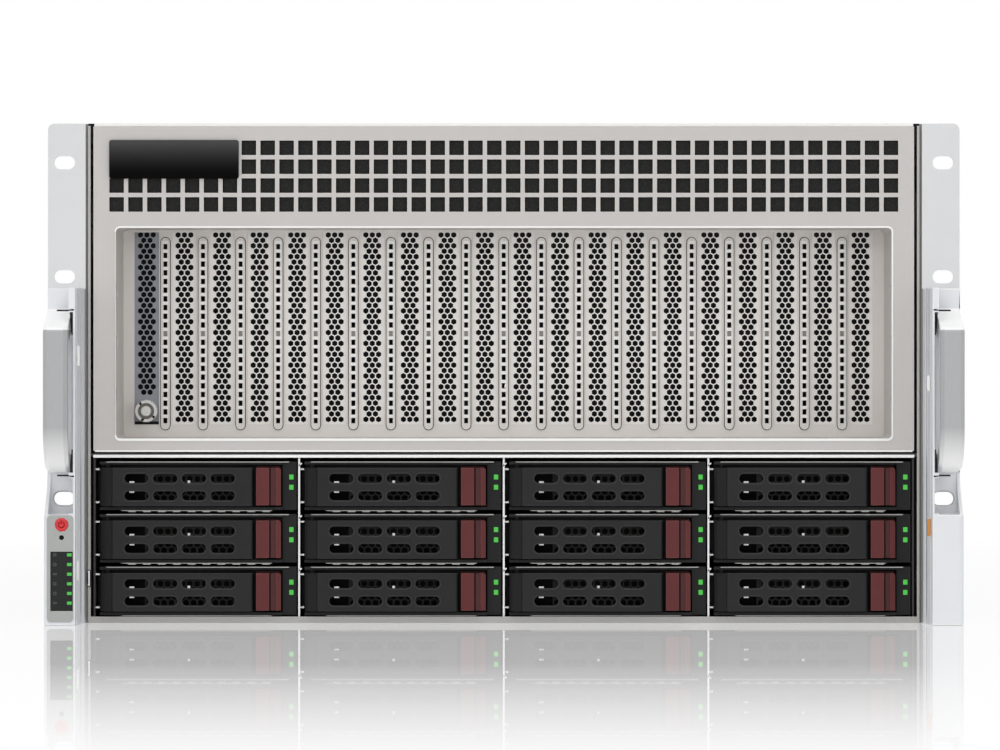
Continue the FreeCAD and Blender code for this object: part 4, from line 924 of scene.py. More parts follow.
def cover_strip(name, x, rows):
    low, high = (x - COVER_HALF, COVER_FRONT, COVER_LOW[2]), (x + COVER_HALF, COVER_BACK, COVER_HIGH[2])
    return carve(block(name, low, high), honeycomb(x, rows))


end_cover = cover_strip("end_cover", FIRST_SLOT, 30)
carve(end_cover, rod("screw_hole", (SCREW_X, COVER_FRONT, SCREW_Z), 2.1, 9))
# painted highlight: the rounded edges of the first cover are a lighter blue
edge_over(end_cover, "end_cover_blue", "end_cover_painted_highlight", 0.14)
settle(end_cover, None, nodes=["slot_covers"])
head_step = block("end_cover_step", (-6.5, 60.3, 200.6), (6.5, 61.2, 208.2), AT_FIRST)
carve(head_step, honeycomb(FIRST_SLOT, 3))
# painted highlight: the rounded edges of the step are a lighter blue
settle(edge_over(head_step, "end_cover_blue", "end_cover_painted_highlight", 0.18), None)
foot_step = block("end_cover_foot", (-6.5, 60.3, 104.7), (6.5, 61.2, 106.2), AT_FIRST)
settle(round_over(foot_step, 0.3), "barrel_black")

cover = cover_strip("slot_cover_02", FIRST_SLOT + SLOT_PITCH, 35)
# painted highlight: the covers are a lighter beige with near white edges round the holes
settle(edge_over(cover, "painted_highlight_beige", "painted_highlight_white", 0.14), None)
along_slots(cover, "slot_cover", 2, SLOT_COUNT)
head_seal = block("cover_head_seal", (-204, COVER_BACK + 0.2, 199.5), (204, 66.8, 210.8))
settle(round_over(head_seal, 0.4), "button_black")
print(SLOT_COUNT, "covers of", len(cover.data.polygons), "faces")

# %% [markdown]
# The thumbscrew is turned from bar: a ring with a knob in the middle and three notches for a driver. It
# grows from one cylinder by inset and extrude on its front face. A few faces of the ring are pushed in for
# the notches, and every second flat of its side a little for the fingers.

# %% Captive thumbscrew
HEAD_FRONT, HEAD_RADIUS, KNOB_RADIUS, RING = 54.2, 5.9, 2.8, 1.5
HEAD_LENGTH = COVER_FRONT - HEAD_FRONT
NOTCH_ANGLES, NOTCH_DEPTH = (-127.5, 37.5, 112.5), 1.8


def from_screw_axis(point):
    return math.hypot(point[0] - SCREW_X, point[2] - SCREW_Z)


def at_notch(face):
    point = place(face.center)
    turn = math.degrees(math.atan2(SCREW_Z - point[2], point[0] - SCREW_X))
    on_ring = facing_front(face) and from_screw_axis(point) > HEAD_RADIUS - RING
    return on_ring and any(abs(turn - angle) < 6 for angle in NOTCH_ANGLES)


def in_notch(point, normal):
    between = HEAD_RADIUS - RING + 0.1 < from_screw_axis(point) < HEAD_RADIUS - 0.4
    return between and HEAD_FRONT + 0.2 < point[1] < HEAD_FRONT + NOTCH_DEPTH + 0.3


def in_screw_groove(point, normal):
    return from_screw_axis(point) < HEAD_RADIUS - 0.4 and point[1] > HEAD_FRONT + 2.2


screw_middle = (SCREW_X, HEAD_FRONT + HEAD_LENGTH / 2, SCREW_Z)
thumbscrew = rod("thumbscrew", screw_middle, HEAD_RADIUS, HEAD_LENGTH, 48)
pick(thumbscrew, "FACE", lambda face: abs(face.normal.y) < 0.1 and face.index % 2 == 0)
bpy.ops.mesh.inset(thickness=0.08 * MM, depth=-0.25 * MM, use_individual=True)
leave()
pick(thumbscrew, "FACE", facing_front)
bpy.ops.mesh.inset(thickness=RING * MM)
push(0, 3.2, 0)
bpy.ops.mesh.inset(thickness=(HEAD_RADIUS - RING - KNOB_RADIUS) * MM)
push(0, -4.7, 0)
bpy.ops.mesh.bevel(offset=0.7 * MM, segments=3, affect="EDGES")
leave()
pick(thumbscrew, "FACE", at_notch)
push(0, NOTCH_DEPTH, 0)
leave()
round_over(thumbscrew, 0.12)
settle(thumbscrew, "screw_satin", "thumbscrew", ["captive_thumbscrew"])
# painted shadow: the notches are dark; painted shade: the groove round the knob is grey
paint(thumbscrew, "painted_shadow_dark", in_notch)
paint(thumbscrew, "painted_shade_grey", in_screw_groove)
print("thumbscrew has", len(thumbscrew.data.polygons), "faces")

# %% [markdown]
# The drive cage is folded steel. What shows of it from the front are cut edges: the dividers and the guides
# are painted near white as a painted highlight, and the fronts of the outer dividers and of the shelf behind
# its lip are painted dark as painted shadow. The shelf has a folded lip along its front, and each divider has
# a small curled spring above the upper guide of every bay; the lip and the springs are painted near white as
# a painted highlight.

# %% Drive cage
BAY_WIDTH = 108.4
BAY_LEFT = extent("drive_tray_01")[0][0] - 0.9
ROWS = [extent(f"drive_tray_{number}") for number in ("01", "05", "09")]
ROW_HEIGHTS = [(low[2] + high[2]) / 2 for low, high in ROWS]
SHELF_FRONT, SHELF_BOTTOM = extent("drive_cage")[0][1], SHELF_TOP - 1.6


def on_painted_highlight(point, normal):
    between_bays = abs(point[0]) < 170 or point[2] > SHELF_BOTTOM - 0.1 or point[1] > 2.6
    return normal.y < -0.6 and point[1] < 4 and between_bays


def curl(name, x, z):
    """A strip swept through a quarter turn by the spin tool."""
    piece = block(name, (-0.45, 1.7, 0), (0.45, 2.6, 1.2), (x, 0, z))
    pick(piece, "FACE", lambda face: face.normal.z < -0.9)
    bpy.ops.mesh.spin(
        steps=5, angle=math.radians(-100), center=spot(x + 1.3, 2.1, z), axis=(0, 1, 0), dupli=False
    )
    leave()
    weld(piece, 0.005)
    bpy.ops.mesh.normals_make_consistent(inside=False)
    leave()
    return piece


cage = settle(eased("drive_cage", 0.15), "cage_zinc", nodes=["drive_cage"])
# painted shadow on the fronts of the outer dividers and of the shelf, painted highlight on the cut edges
paint(cage, "painted_shadow_dark", lambda point, normal: normal.y < -0.6 and point[1] < 2.6 and abs(point[0]) > 170)
paint(cage, "painted_highlight_white", on_painted_highlight)
paint(cage, "painted_shadow_dark", lambda point, normal: normal.y < -0.6 and point[1] < 4 and point[2] > SHELF_BOTTOM)
lip = block(
    "shelf_lip", (-217.4, SHELF_FRONT - 0.25, SHELF_BOTTOM - 0.7), (217.4, SHELF_FRONT + 0.4, SHELF_TOP - 0.7)
)
settle(round_over(lip, 0.2, 3), "painted_highlight_white")
model = curl("divider_springs", BAY_LEFT, ROW_HEIGHTS[0] + 10.4)
curls = [
    twin(model, "curl", (column * BAY_WIDTH, 0, height - ROW_HEIGHTS[0]))
    for height in ROW_HEIGHTS for column in range(1, 4)
]
springs = gather("divider_springs", curls)
bpy.data.objects.remove(model)
settle(round_over(springs, 0.12), "painted_highlight_white")
print("bay", round(BAY_LEFT, 2), "rows", [round(height, 2) for height in ROW_HEIGHTS])

# %% [markdown]
# A tray is a black moulded frame that carries the drive. The frame, the drive, the hinge pin and the two
# lamps are one node, so the copy gets several finishes, chosen by where a face is. The drive has a lid,
# made by an inset of its top face. Twelve trays are alike, so the first is dressed and then copied. From
# here to the tabs, places are counted from the left edge of the first bay, at half its height.

# %% Tray frames and drives
TRAY_Z = ROW_HEIGHTS[0]
BAY = (BAY_LEFT, 0, TRAY_Z)
DRIVE_FRONT = 24.0


def on_drive(point, normal=None):
    return point[1] > DRIVE_FRONT - 0.2 and 3.45 < point[0] - BAY_LEFT < BAY_WIDTH - 3.45


def on_lamp(point, normal):
    return point[0] - BAY_LEFT > 103 and point[1] < 1.9


def on_pin(point, normal):
    return math.hypot(point[0] - BAY_LEFT - 7, point[1] - 1) < 1.4


tray = eased("drive_tray_01", 0)
sink(tray, lambda face: face.normal.z > 0.9 and on_drive(place(face.center)), 5, 0, 0, -0.6)
coat(round_over(tray, 0.25), "tray_black")
paint(tray, "drive_silver", on_drive)
# painted shadow: the front of the drive, seen through the holes of the lever, is black
paint(tray, "button_black", lambda point, normal: on_drive(point) and normal.y < -0.9)
paint(tray, "green_lamp", on_lamp)
paint(tray, "button_black", on_pin)
on_every("drive_tray", tray, "drive_tray", "tray", True)
print("12 trays of", len(tray.data.polygons), "faces")

# %% [markdown]
# The opening in the floor of the tray frame is closed by a perforated grille, which shows as a dark texture
# behind the holes of the lever. It is the same honeycomb idea as on the covers.

# %% Grilles of the trays
grille = block("tray_grille_01", (26, 12, -8), (77.6, 12.8, 8), BAY)
holes = []
for start, count in ((0, 13), (1.95, 12)):
    corner = (BAY_LEFT + 28.4 + start, 12.4, TRAY_Z - 6.8 + start * 1.73)
    hole = row_of(rod("hole", corner, 1.75, 4, 6), count, (3.9, 0, 0))
    holes.append(row_of(hole, 2, (0, 0, 6.75)))
coat(carve(grille, gather("grille_holes", holes)), "grille_grey")
on_every("drive_tray", grille, "tray_grille", "tray")
print("12 grilles of", len(grille.data.polygons), "faces")

# %% [markdown]
# Spring strips on the top and bottom of each tray press against the cage and keep radio noise in. They are
# bright lines in the gap between the rows, and the lower one has small teeth. In the bottom row the teeth
# would catch on the lip of the floor, so there the strip is plain.

# %% Spring strips
STRIP, TRAY_HALF = 0.55, 12.85


def strip(name, left, right, front, low):
    bar = block(name, (left, front, low), (right, 9, low + STRIP), BAY)
    bevel_edges(bar, lambda run, middle: abs(run.z) > 0.9, 2, 2)
    return bar


upper = strip("strip_01", 5.1, 103.6, -0.3, TRAY_HALF - STRIP)
lower = strip("strip_low", 13.6, 94.6, 0.7, -TRAY_HALF - STRIP)
plain_strip = gather("plain_strip", [twin(upper, "top", (0, 0, 0)), twin(lower, "bottom", (0, 0, 0))])
tooth_low = -TRAY_HALF - 2 * STRIP
teeth = block("strip_teeth", (17.8, 0.9, tooth_low), (21.9, 6, tooth_low + STRIP + 0.1), BAY)
row_of(teeth, 10, (7.9, 0, 0))
toothed_strip = gather("toothed_strip", [upper, lower, teeth])
for model in (plain_strip, toothed_strip):
    round_over(model, 0.12)
for number in NUMBERS["drive_tray"]:
    model = plain_strip if int(number) > 8 else toothed_strip
    copy = twin(model, f"spring_strip_{number}", shift_between("drive_tray_01", f"drive_tray_{number}"))
    settle(copy, "spring_steel", f"tray_{number}")
for model in (plain_strip, toothed_strip):
    bpy.data.objects.remove(model)
print("12 pairs of spring strips")

# %% [markdown]
# The lever is the front of the tray. It swings out on its barrel at the left, and air goes through eight
# long holes. From a block: the two left edges are bevelled until they meet in a half round, the nose at the
# right is rounded, the back is hollowed, and the holes are cut with a bevelled slab, with a shallow rim
# round each. The rounded edges are painted a lighter black as a painted highlight. A leaf spring and a
# small catch inside show as bright specks in the holes: they are painted near white as painted highlights.

# %% Levers
LEVER_LOW, LEVER_HIGH = extent("tray_lever_01")
LEVER_TOP = LEVER_HIGH[2] - 1.2
HINGE_X, HINGE_DEEP = BAY_LEFT + 7, 1.0
VENT_LEFT, VENT_LENGTH, VENT_HEIGHT = 16.1, 12.8, 4.8
VENT_PITCH, VENT_ROW, VENT_DROP = 15.2, 9.2, 0.65
VENT_LOW = -VENT_ROW / 2 - VENT_HEIGHT / 2 - VENT_DROP


def vents(name, back, rim):
    """Cutters for the eight holes, or for the wider rims round them."""
    low = (VENT_LEFT - rim, -6, VENT_LOW - rim)
    high = (VENT_LEFT + VENT_LENGTH + rim, back, VENT_LOW + VENT_HEIGHT + rim)
    first = slab(name, low, high, VENT_HEIGHT / 2 + rim - 0.01, at=BAY)
    return row_of(row_of(first, 4, (VENT_PITCH, 0, 0)), 2, (0, 0, VENT_ROW))


def barrel_edge(run, middle):
    return abs(run.z) > 0.9 and middle[0] < LEVER_LOW[0] + 1


def nose_edge(run, middle):
    return abs(run.z) > 0.9 and middle[0] > LEVER_HIGH[0] - 1 and middle[1] < 0


lever = block("tray_lever_01_dressed", LEVER_LOW, (LEVER_HIGH[0], LEVER_HIGH[1], LEVER_TOP))
bevel_edges(lever, barrel_edge, 3.95, 7)
bevel_edges(lever, nose_edge, 2.0, 4)
carve(
    lever,
    block("hollow", (12, -0.6, -9.2), (82.5, 9, 9.2), BAY),
    rod("bore", (HINGE_X, HINGE_DEEP, TRAY_Z), 1.32, 40, 16, "Z"),
    vents("vent", 2, 0),
    vents("vent_rim", -2.6, 0.5),
    block("groove", (9.5, -6, -20), (9.95, -2.5, 20), BAY),
)
# painted highlight: the rounded edges of the lever are a lighter black
edge_over(lever, "lever_black", "lever_painted_highlight", 0.3, 2)
paint(lever, "barrel_black", lambda point, normal: point[0] < BAY_LEFT + 9.9)
on_every("drive_tray", lever, "tray_lever", "lever", True)
spring_leaf = block("lever_spring_01", (18.6, -0.5, -3.7), (21.2, 0.5, 2.4), BAY)
catch = block("catch", (49.4, -0.5, 1.2), (50.8, 0.5, 2.8), BAY)
lever_spring = round_over(gather("lever_spring_01", [spring_leaf, catch]), 0.15)
on_every("drive_tray", coat(lever_spring, "painted_highlight_white"), "lever_spring", "lever")
print("12 levers of", len(lever.data.polygons), "faces")

# %% [markdown]
# The red tab releases the lever. A flat pad on the left is for the thumb, then comes a groove painted dark
# red as painted shadow, then a part that slopes back, painted a darker red as painted shade, and has a
# second fine line. The rounded edges are painted a lighter red as a painted highlight. One upper corner is
# cut off, which is a bevel of a single edge.

# %% Release tabs
TAB_LOW, TAB_HIGH = extent("release_tab_01")
TAB_TOP = TAB_HIGH[2] - 0.8
PAD_RIGHT, GROOVE_RIGHT = TAB_LOW[0] + 6.9, TAB_LOW[0] + 7.7
FINE_LINE = TAB_HIGH[0] - 2.9
UNDER, OVER = TAB_LOW[2] - 1, TAB_HIGH[2] + 1


def upper_right_corner(run, middle):
    return abs(run.y) > 0.9 and middle[0] > TAB_HIGH[0] - 0.2 and middle[2] > TAB_TOP - 0.2


tab = eased("release_tab_01", 0)
carve(tab, block("tab_top", (TAB_LOW[0] - 2, -8, TAB_TOP), (TAB_HIGH[0] + 2, 4, TAB_TOP + 3)))
bevel_edges(tab, upper_right_corner, 1.1, 1)
carve(
    tab, block("fine_line", (FINE_LINE, -6, UNDER), (FINE_LINE + 0.4, -1.3, OVER)),
    block("groove", (PAD_RIGHT, -6, UNDER), (GROOVE_RIGHT, TAB_LOW[1] + 1.3, OVER)),
)
# painted highlight: the rounded edges of the tab are a lighter red
edge_over(tab, "tab_red", "tab_painted_highlight", 0.2, 2)
# painted shade: the sloping part is a darker red
paint(tab, "tab_painted_shade", lambda point, normal: PAD_RIGHT < point[0] < FINE_LINE + 0.1 and point[1] < -0.5)
# painted shadow: the groove is a dark red
paint(tab, "tab_painted_shadow", lambda point, normal: PAD_RIGHT - 0.1 < point[0] < GROOVE_RIGHT + 0.05)
thumb_pad = block(
    "thumb_pad", (TAB_LOW[0] + 0.2, TAB_LOW[1] - 0.06, TAB_LOW[2] + 0.2),
    (PAD_RIGHT, TAB_LOW[1] + 0.8, TAB_TOP - 0.2),
)
# painted highlight: the rounded edges of the pad are a lighter red
edge_over(thumb_pad, "tab_red", "tab_painted_highlight", 0.15)
gather("release_tab_01_dressed", [tab, thumb_pad])
on_every("drive_tray", tab, "release_tab", "tab", True)
print("12 tabs of", len(tab.data.polygons), "faces")

# %% [markdown]
# The ears and the castings bolted to them are pale satin paint, and their rounded edges are painted near
# white as a painted highlight. The steps of the rail are bare brushed metal: they face the darker side of
# the studio and so look grey. The grip bar is satin grey, and its bends are painted white by height as a
# painted highlight. The finish is chosen by where a face lies. Beside the bar the rail is hollowed out, so
# that fingers go round it, and a narrow slot, painted dark as painted shadow, marks each end of the bar.
# The ends of the hollow slope out to the front: that is the bevel of two edges of the cutter, and they are
# painted dark as painted shadow. The seam of each ear is painted grey as painted shade. A scale of nought
# across the outer face keeps it flat after the rounding.

# %% Ears and handles
MODULE_FACE = -27.0
GRIP_LOW, GRIP_HIGH = 79.8, 167.3
HOLLOW_NEAR, HOLLOW_FAR = 225.9, 228.25
HOLLOW_LOW, HOLLOW_HIGH, HOLLOW_FLOOR, HOLLOW_SLOPE = 80.0, 164.3, -8.0, 12.0
SCOOP_LOW, SCOOP_HIGH, SCOOP_FLOOR = 58.6, 77.2, -3.2
OUTER = 241.3
GRIP_SLOTS, SLOT_LINE = (77.7, 165.0), 0.9


def on_grip(point, normal):
    outside = abs(point[0]) > HOLLOW_FAR and point[1] < -3.3
    return GRIP_LOW < point[2] < GRIP_HIGH and (outside or point[1] < MODULE_FACE - 0.3)


def in_hollow(point, normal):
    across = HOLLOW_NEAR - 0.1 < abs(point[0]) < HOLLOW_FAR + 0.1
    return across and -21 < point[1] < HOLLOW_FLOOR + 0.5 and HOLLOW_LOW < point[2] < HOLLOW_HIGH


def in_grip_slot(point, normal):
    inside = any(low - 0.05 < point[2] < low + SLOT_LINE + 0.05 for low in GRIP_SLOTS)
    return inside and 225.2 < abs(point[0]) < 236.4 and point[1] > -30


def rail_cutter(name, sign, across, deep, up):
    """A block cutter for the left or the right casting."""
    near, far = sorted(sign * value for value in across)
    return block(name, (near, deep[0], up[0]), (far, deep[1], up[1]))


def at_hollow_floor(run, middle):
    return abs(run.x) > 0.9 and middle[1] > HOLLOW_FLOOR - 1


ears = settle(eased("rack_ears", 0.35), "ear_paint", nodes=["rack_ears"])
# painted shade: the seam of each ear is grey
paint(ears, "painted_shade_grey", lambda point, normal: abs(point[0]) < 221.3 and point[1] < 3.4)
for side, sign in (("left", -1), ("right", 1)):
    # painted highlight: the rounded edges of the casting are near white
    casting = edge_over(eased(f"{side}_handle", 0), "casting_paint", "painted_highlight_white", 0.5, 3)
    pick(casting, "VERT", lambda vertex: abs(vertex.co.x) > (OUTER - 0.01) * MM)
    bpy.ops.transform.resize(value=(0, 1, 1), center_override=(sign * OUTER * MM, 0, 0))
    leave()
    beside_bar = (HOLLOW_NEAR, HOLLOW_FAR)
    hollow = rail_cutter("hollow", sign, beside_bar, (-32, HOLLOW_FLOOR), (HOLLOW_LOW, HOLLOW_HIGH))
    bevel_edges(hollow, at_hollow_floor, HOLLOW_SLOPE, 1)
    scoop = rail_cutter("scoop_end", sign, beside_bar, (-32, SCOOP_FLOOR), (SCOOP_LOW, SCOOP_HIGH))
    carve(casting, hollow, scoop)
    for low in GRIP_SLOTS:
        carve(casting, rail_cutter("slot_line", sign, (225.4, 236.2), (-34, -2.3), (low, low + SLOT_LINE)))
    settle(keep_flats(casting), None, nodes=[f"{side}_handle"])
    # painted highlight: the bends of the grip bar are painted white by height
    paint(casting, "grip_satin_painted_highlight", on_grip)
    paint(casting, "bar_silver", lambda point, normal: abs(point[0]) < 224.75)
    paint(casting, "bar_silver", in_hollow)
    # painted shadow: the sloping ends of the hollow are dark
    paint(casting, "painted_shadow_dark", lambda point, normal: in_hollow(point, normal) and -0.95 < normal.y < -0.3)
    # painted shadow: the slot lines at the ends of the bar are dark
    paint(casting, "painted_shadow_dark", in_grip_slot)
    print(side, "casting has", len(casting.data.polygons), "faces")

# %% [markdown]
# The left module carries the controls on a thin grey panel with round corners. The panel is a slab with the
# holes of the buttons and of the window cut out. The sign on the power button is a ring with a gap and a
# bar, raised by a tenth of a millimetre.

# %% Control panel
POWER, RESET = (-231.9, 52.8), (-231.9, 46.0)
AT_POWER = (POWER[0], 0, POWER[1])
STATUS_LOW, STATUS_HIGH = extent("status_panel")
SIGN_FRONT, SIGN_BACK = -27.98, -27.8
PANEL_CORNERS = (-239.6, MODULE_FACE - 0.4, 1.6), (-225.7, MODULE_FACE + 0.05, 57.8)
control_panel = slab("control_panel", *PANEL_CORNERS, 2.2)
carve(
    control_panel,
    rod("power_hole", (POWER[0], MODULE_FACE, POWER[1]), 3.75, 6, 40),
    rod("reset_hole", (RESET[0], MODULE_FACE, RESET[1]), 1.5, 6, 24),
    slab(
        "status_hole", (STATUS_LOW[0] - 0.1, -30, STATUS_LOW[2] - 0.1),
        (STATUS_HIGH[0] + 0.1, -20, STATUS_HIGH[2] + 0.1), 0.8,
    ),
)
settle(round_over(control_panel, 0.15), "panel_grey")
power = eased("power_button", 0.25, 3)
sink(power, facing_front, 0.5, 0, 0.12, 0)
settle(power, "button_red", "power", ["power_button"])
settle(eased("reset_button", 0.15), "button_black", "reset", ["reset_button"])

sign_middle = (POWER[0], (SIGN_FRONT + SIGN_BACK) / 2, POWER[1])
ring = rod("power_sign", sign_middle, 1.75, SIGN_BACK - SIGN_FRONT, 40)
carve(
    ring, rod("ring_inside", sign_middle, 1.25, 4, 40),
    block("ring_gap", (-0.65, -30, 0), (0.65, -25, 4), AT_POWER),
)
bar = block("sign_bar", (-0.24, SIGN_FRONT, 0.1), (0.24, SIGN_BACK, 2.1), AT_POWER)
power_sign = round_over(gather("power_sign", [ring, bar]), 0.05)
settle(power_sign, "mark_red", "power")
print("control panel and buttons ready")

# %% [markdown]
# The status window is smoked plastic with six lamps at its right edge. Beside each lamp is a small plain
# sign: rings, squares and bars by turns, cut from rods and blocks and set just proud of the window.

# %% Status window
SIGN_X = STATUS_LOW[0] + 2.4
LAMP_FIRST, LAMP_PITCH, LAMP_COUNT = 11.7, 5.06, 6
PROUD = 0.05


def small_frame(name, z, wide, tall, line):
    at = (SIGN_X, MODULE_FACE, z)
    outer = block(name, (-wide, -PROUD, -tall), (wide, PROUD, tall), at)
    wide, tall = wide - line, tall - line
    return carve(outer, block("inner", (-wide, -3, -tall), (wide, 7, tall), at))


def small_ring(name, z):
    outer = rod(name, (SIGN_X, MODULE_FACE, z), 0.85, 0.1, 24)
    return carve(outer, rod("inner", (SIGN_X, MODULE_FACE, z), 0.6, 3, 24))


status = settle(eased("status_panel", 0.12), "status_glass", nodes=["status_panel"])
paint(status, "green_lamp", lambda point, normal: point[1] < MODULE_FACE - 0.03)
signs = []
for index in range(LAMP_COUNT):
    z = LAMP_FIRST + index * LAMP_PITCH
    if index % 3 == 0:
        signs.append(small_frame(f"sign_{index}", z, 0.9, 0.45, 0.2))
    elif index % 3 == 1:
        signs.append(small_ring(f"sign_{index}", z))
    else:
        signs.append(small_frame(f"sign_{index}", z, 0.7, 0.7, 0.22))
settle(gather("status_signs", signs), "icon_grey")
print(len(signs), "signs")

# %% [markdown]
# Small inserts sit in the rails of the castings: two pale ones at the left, which stand in for bright lines
# on the rail and so are a painted highlight, a pale and an orange one at the right, and a wire clip, painted
# near white as a painted highlight, in a dark seat at the seam of the left ear.

# %% Inserts and clip
RAIL_STEP = -16.74
# painted highlight: the two white inserts at the left stand in for bright lines on the rail
INSERTS = (
    ("upper_insert", -224.5, -223.2, 136.2, 146.8, "white_insert_and_painted_highlight"),
    ("lower_insert", -224.8, -223.6, 23.0, 33.5, "white_insert_and_painted_highlight"),
    ("right_upper_insert", 222.7, 224.2, 122.9, 131.0, "white_insert_and_painted_highlight"),
    ("right_insert", 222.9, 224.4, 46.5, 55.5, "insert_orange"),
)
for name, left, right, low, high, finish in INSERTS:
    piece = slab(name, (left, RAIL_STEP - 0.45, low), (right, RAIL_STEP + 0.1, high), 0.35, 3)
    settle(round_over(piece, 0.12), finish)

CLIP = (-219.5, 0, 19.7)
CLIP_LENGTH = 8.0
clip_seat = slab("clip_seat", (-1.1, -0.3, -0.5), (0.9, 0.05, CLIP_LENGTH + 0.5), 0.4, 2, CLIP)
settle(round_over(clip_seat, 0.1), "barrel_black")
clip_parts = [slab("seam_clip", (-0.4, -0.9, 0), (0.4, -0.2, CLIP_LENGTH), 0.3, 2, CLIP)]
for z in (0, CLIP_LENGTH - 0.9):
    clip_parts.append(block("clip_foot", (-0.7, -0.7, z), (0.4, -0.2, z + 0.9), CLIP))
settle(round_over(gather("seam_clip", clip_parts), 0.12), "painted_highlight_white")
print(len(INSERTS), "inserts and a clip")

# %% [markdown]
# The pan and the lid are zinc coated steel. The front lip of the pan, which shows under the trays, is painted
# a darker grey as painted shade, and the front edges of the walls a lighter beige as a painted highlight.
# The lid has a bead along its front, painted a light beige as a painted highlight, and the front of the lid
# behind it is painted black as painted shadow. The lid is held by countersunk screws: it is cut for their
# heads, so that they lie flush, and one screw with a cross recess is copied to every place.

# %% Pan and lid
LID_FRONT, LID_TOP = extent("top_cover")[0][1], extent("top_cover")[1][2]
SCREW_FIRST, SCREW_PITCH, SCREW_COUNT, SCREW_SIDE = 50, 175, 5, 208


def crossed_screw(name, middle, axis, radius=2.8, tall=0.9):
    """A flat screw head with a cross recess, facing along one axis."""
    head = rod(name, middle, radius, tall, 24, axis)
    long, short = radius * 0.6, radius * 0.16
    for wide, high in ((long, short), (short, long)):
        low, top = (-wide, -high, tall * 0.1), (wide, high, tall)
        if axis == "Y":
            low, top = (-wide, tall * 0.1, -high), (wide, tall, high)
        carve(head, block("recess", low, top, middle))
    return round_over(head, 0.15)


pan = settle(eased("chassis_base", 0.2), "chassis_zinc", nodes=["chassis_base"])
# painted shade: the lip under the trays is a darker grey
paint(pan, "lip_painted_shade", lambda point, normal: point[1] < 1.4 and point[2] < 262)
# painted highlight: the front edges of the walls are a lighter beige
paint(pan, "painted_highlight_beige", lambda point, normal: point[1] < 1.4 and abs(point[0]) > 218)
lid = eased("top_cover", 0.25)
head_seats = rod("head_seat", (-SCREW_SIDE, SCREW_FIRST, LID_TOP), 3.1, 1.4, 24, "Z")
row_of(row_of(head_seats, SCREW_COUNT, (0, SCREW_PITCH, 0)), 2, (2 * SCREW_SIDE, 0, 0))
settle(keep_flats(carve(lid, head_seats)), "chassis_zinc", nodes=["top_cover"])
# painted shadow: the front of the lid is black
paint(lid, "button_black", lambda point, normal: normal.y < -0.3 and point[1] < 20)
# painted highlight: the bead along the front of the lid is a light beige
lid_bead = block("lid_front_bead", (-216.8, LID_FRONT - 0.2, LID_TOP - 1.45), (216.8, 1.5, LID_TOP - 0.05))
settle(round_over(lid_bead, 0.3, 3), "painted_highlight_beige")
heads = crossed_screw("lid_screws", (-SCREW_SIDE, SCREW_FIRST, LID_TOP - 0.6), "Z")
row_of(row_of(heads, SCREW_COUNT, (0, SCREW_PITCH, 0)), 2, (2 * SCREW_SIDE, 0, 0))
settle(heads, "turned_nickel")
print("lid with", 2 * SCREW_COUNT, "screws")

# %% [markdown]
# Flat rivets along the side walls hold the cage, the shelf and the deck inside. A rivet starts as a cylinder
# whose outer end is inset and pulled out into a low dome.

# %% Rivets of the side walls
WALL = 220.0
RIVETS = [(100 * step, 0) for step in range(1, 4)]
RIVETS += [(455 + 105 * step, -47) for step in range(3)]
RIVETS += [(60 + 200 * step, 160) for step in range(4)]


def rivet(name, side, deep, up):
    head = rod(name, (side * (WALL + 0.35), deep, up), 2.6, 0.8, 20, "X")
    pick(head, "FACE", lambda face: face.normal.x * side > 0.9)
    bpy.ops.mesh.inset(thickness=1.0 * MM)
    bpy.ops.transform.translate(value=(side * 0.5 * MM, 0, 0))
    leave()
    return round_over(head, 0.1)


for side, name in ((-1, "left_rivets"), (1, "right_rivets")):
    first = rivet(name, side, 90, 89)
    row = [first] + [twin(first, "rivet", (0, deep, up)) for deep, up in RIVETS]
    settle(gather(name, row), "chassis_zinc")
print(len(RIVETS) + 1, "rivets on each wall")

# %% [markdown]
# At the rear three fans blow out through the wall. Each has a finger guard of bent wire: rings, which are
# torus primitives, and four legs that run to the screws in the corners.

# %% Fans and finger guards
REAR = 800.0
FAN_NUMBERS = (1, 2, 3)
FAN_Z = 176.0
WIRE = 0.9
GUARD_DEEP = REAR + 2.2
GUARD_RADII = (14, 24, 34, 44, 54)
LEG_INNER, LEG_OUTER = 12, 74
SCREW_SPACING = 54
low, high = extent("fan_rotor_1")
FAN_X = (low[0] + high[0]) / 2
GUARD_MIDDLE = spot(FAN_X, GUARD_DEEP, FAN_Z)


def guard_ring(radius):
    bpy.ops.object.select_all(action="DESELECT")
    bpy.ops.mesh.primitive_torus_add(
        location=GUARD_MIDDLE, rotation=AXIS_TURN["Y"], major_radius=radius * MM, minor_radius=WIRE * MM,
        major_segments=48, minor_segments=8,
    )
    return newly_made("guard_ring")


def guard_leg(angle):
    """A wire from the inner ring to a corner screw, bent back to the wall at its end."""
    centre = (FAN_X + (LEG_INNER + LEG_OUTER) / 2, GUARD_DEEP + 1.6, FAN_Z)
    leg = rod("guard_leg", centre, WIRE, LEG_OUTER - LEG_INNER, 10, "X")
    pick(leg, "FACE", lambda face: face.normal.x > 0.9)
    push(3, -2.4, 0)
    bpy.ops.mesh.select_all(action="SELECT")
    bpy.ops.transform.rotate(value=angle, orient_axis="Y", center_override=GUARD_MIDDLE)
    leave()
    return leg


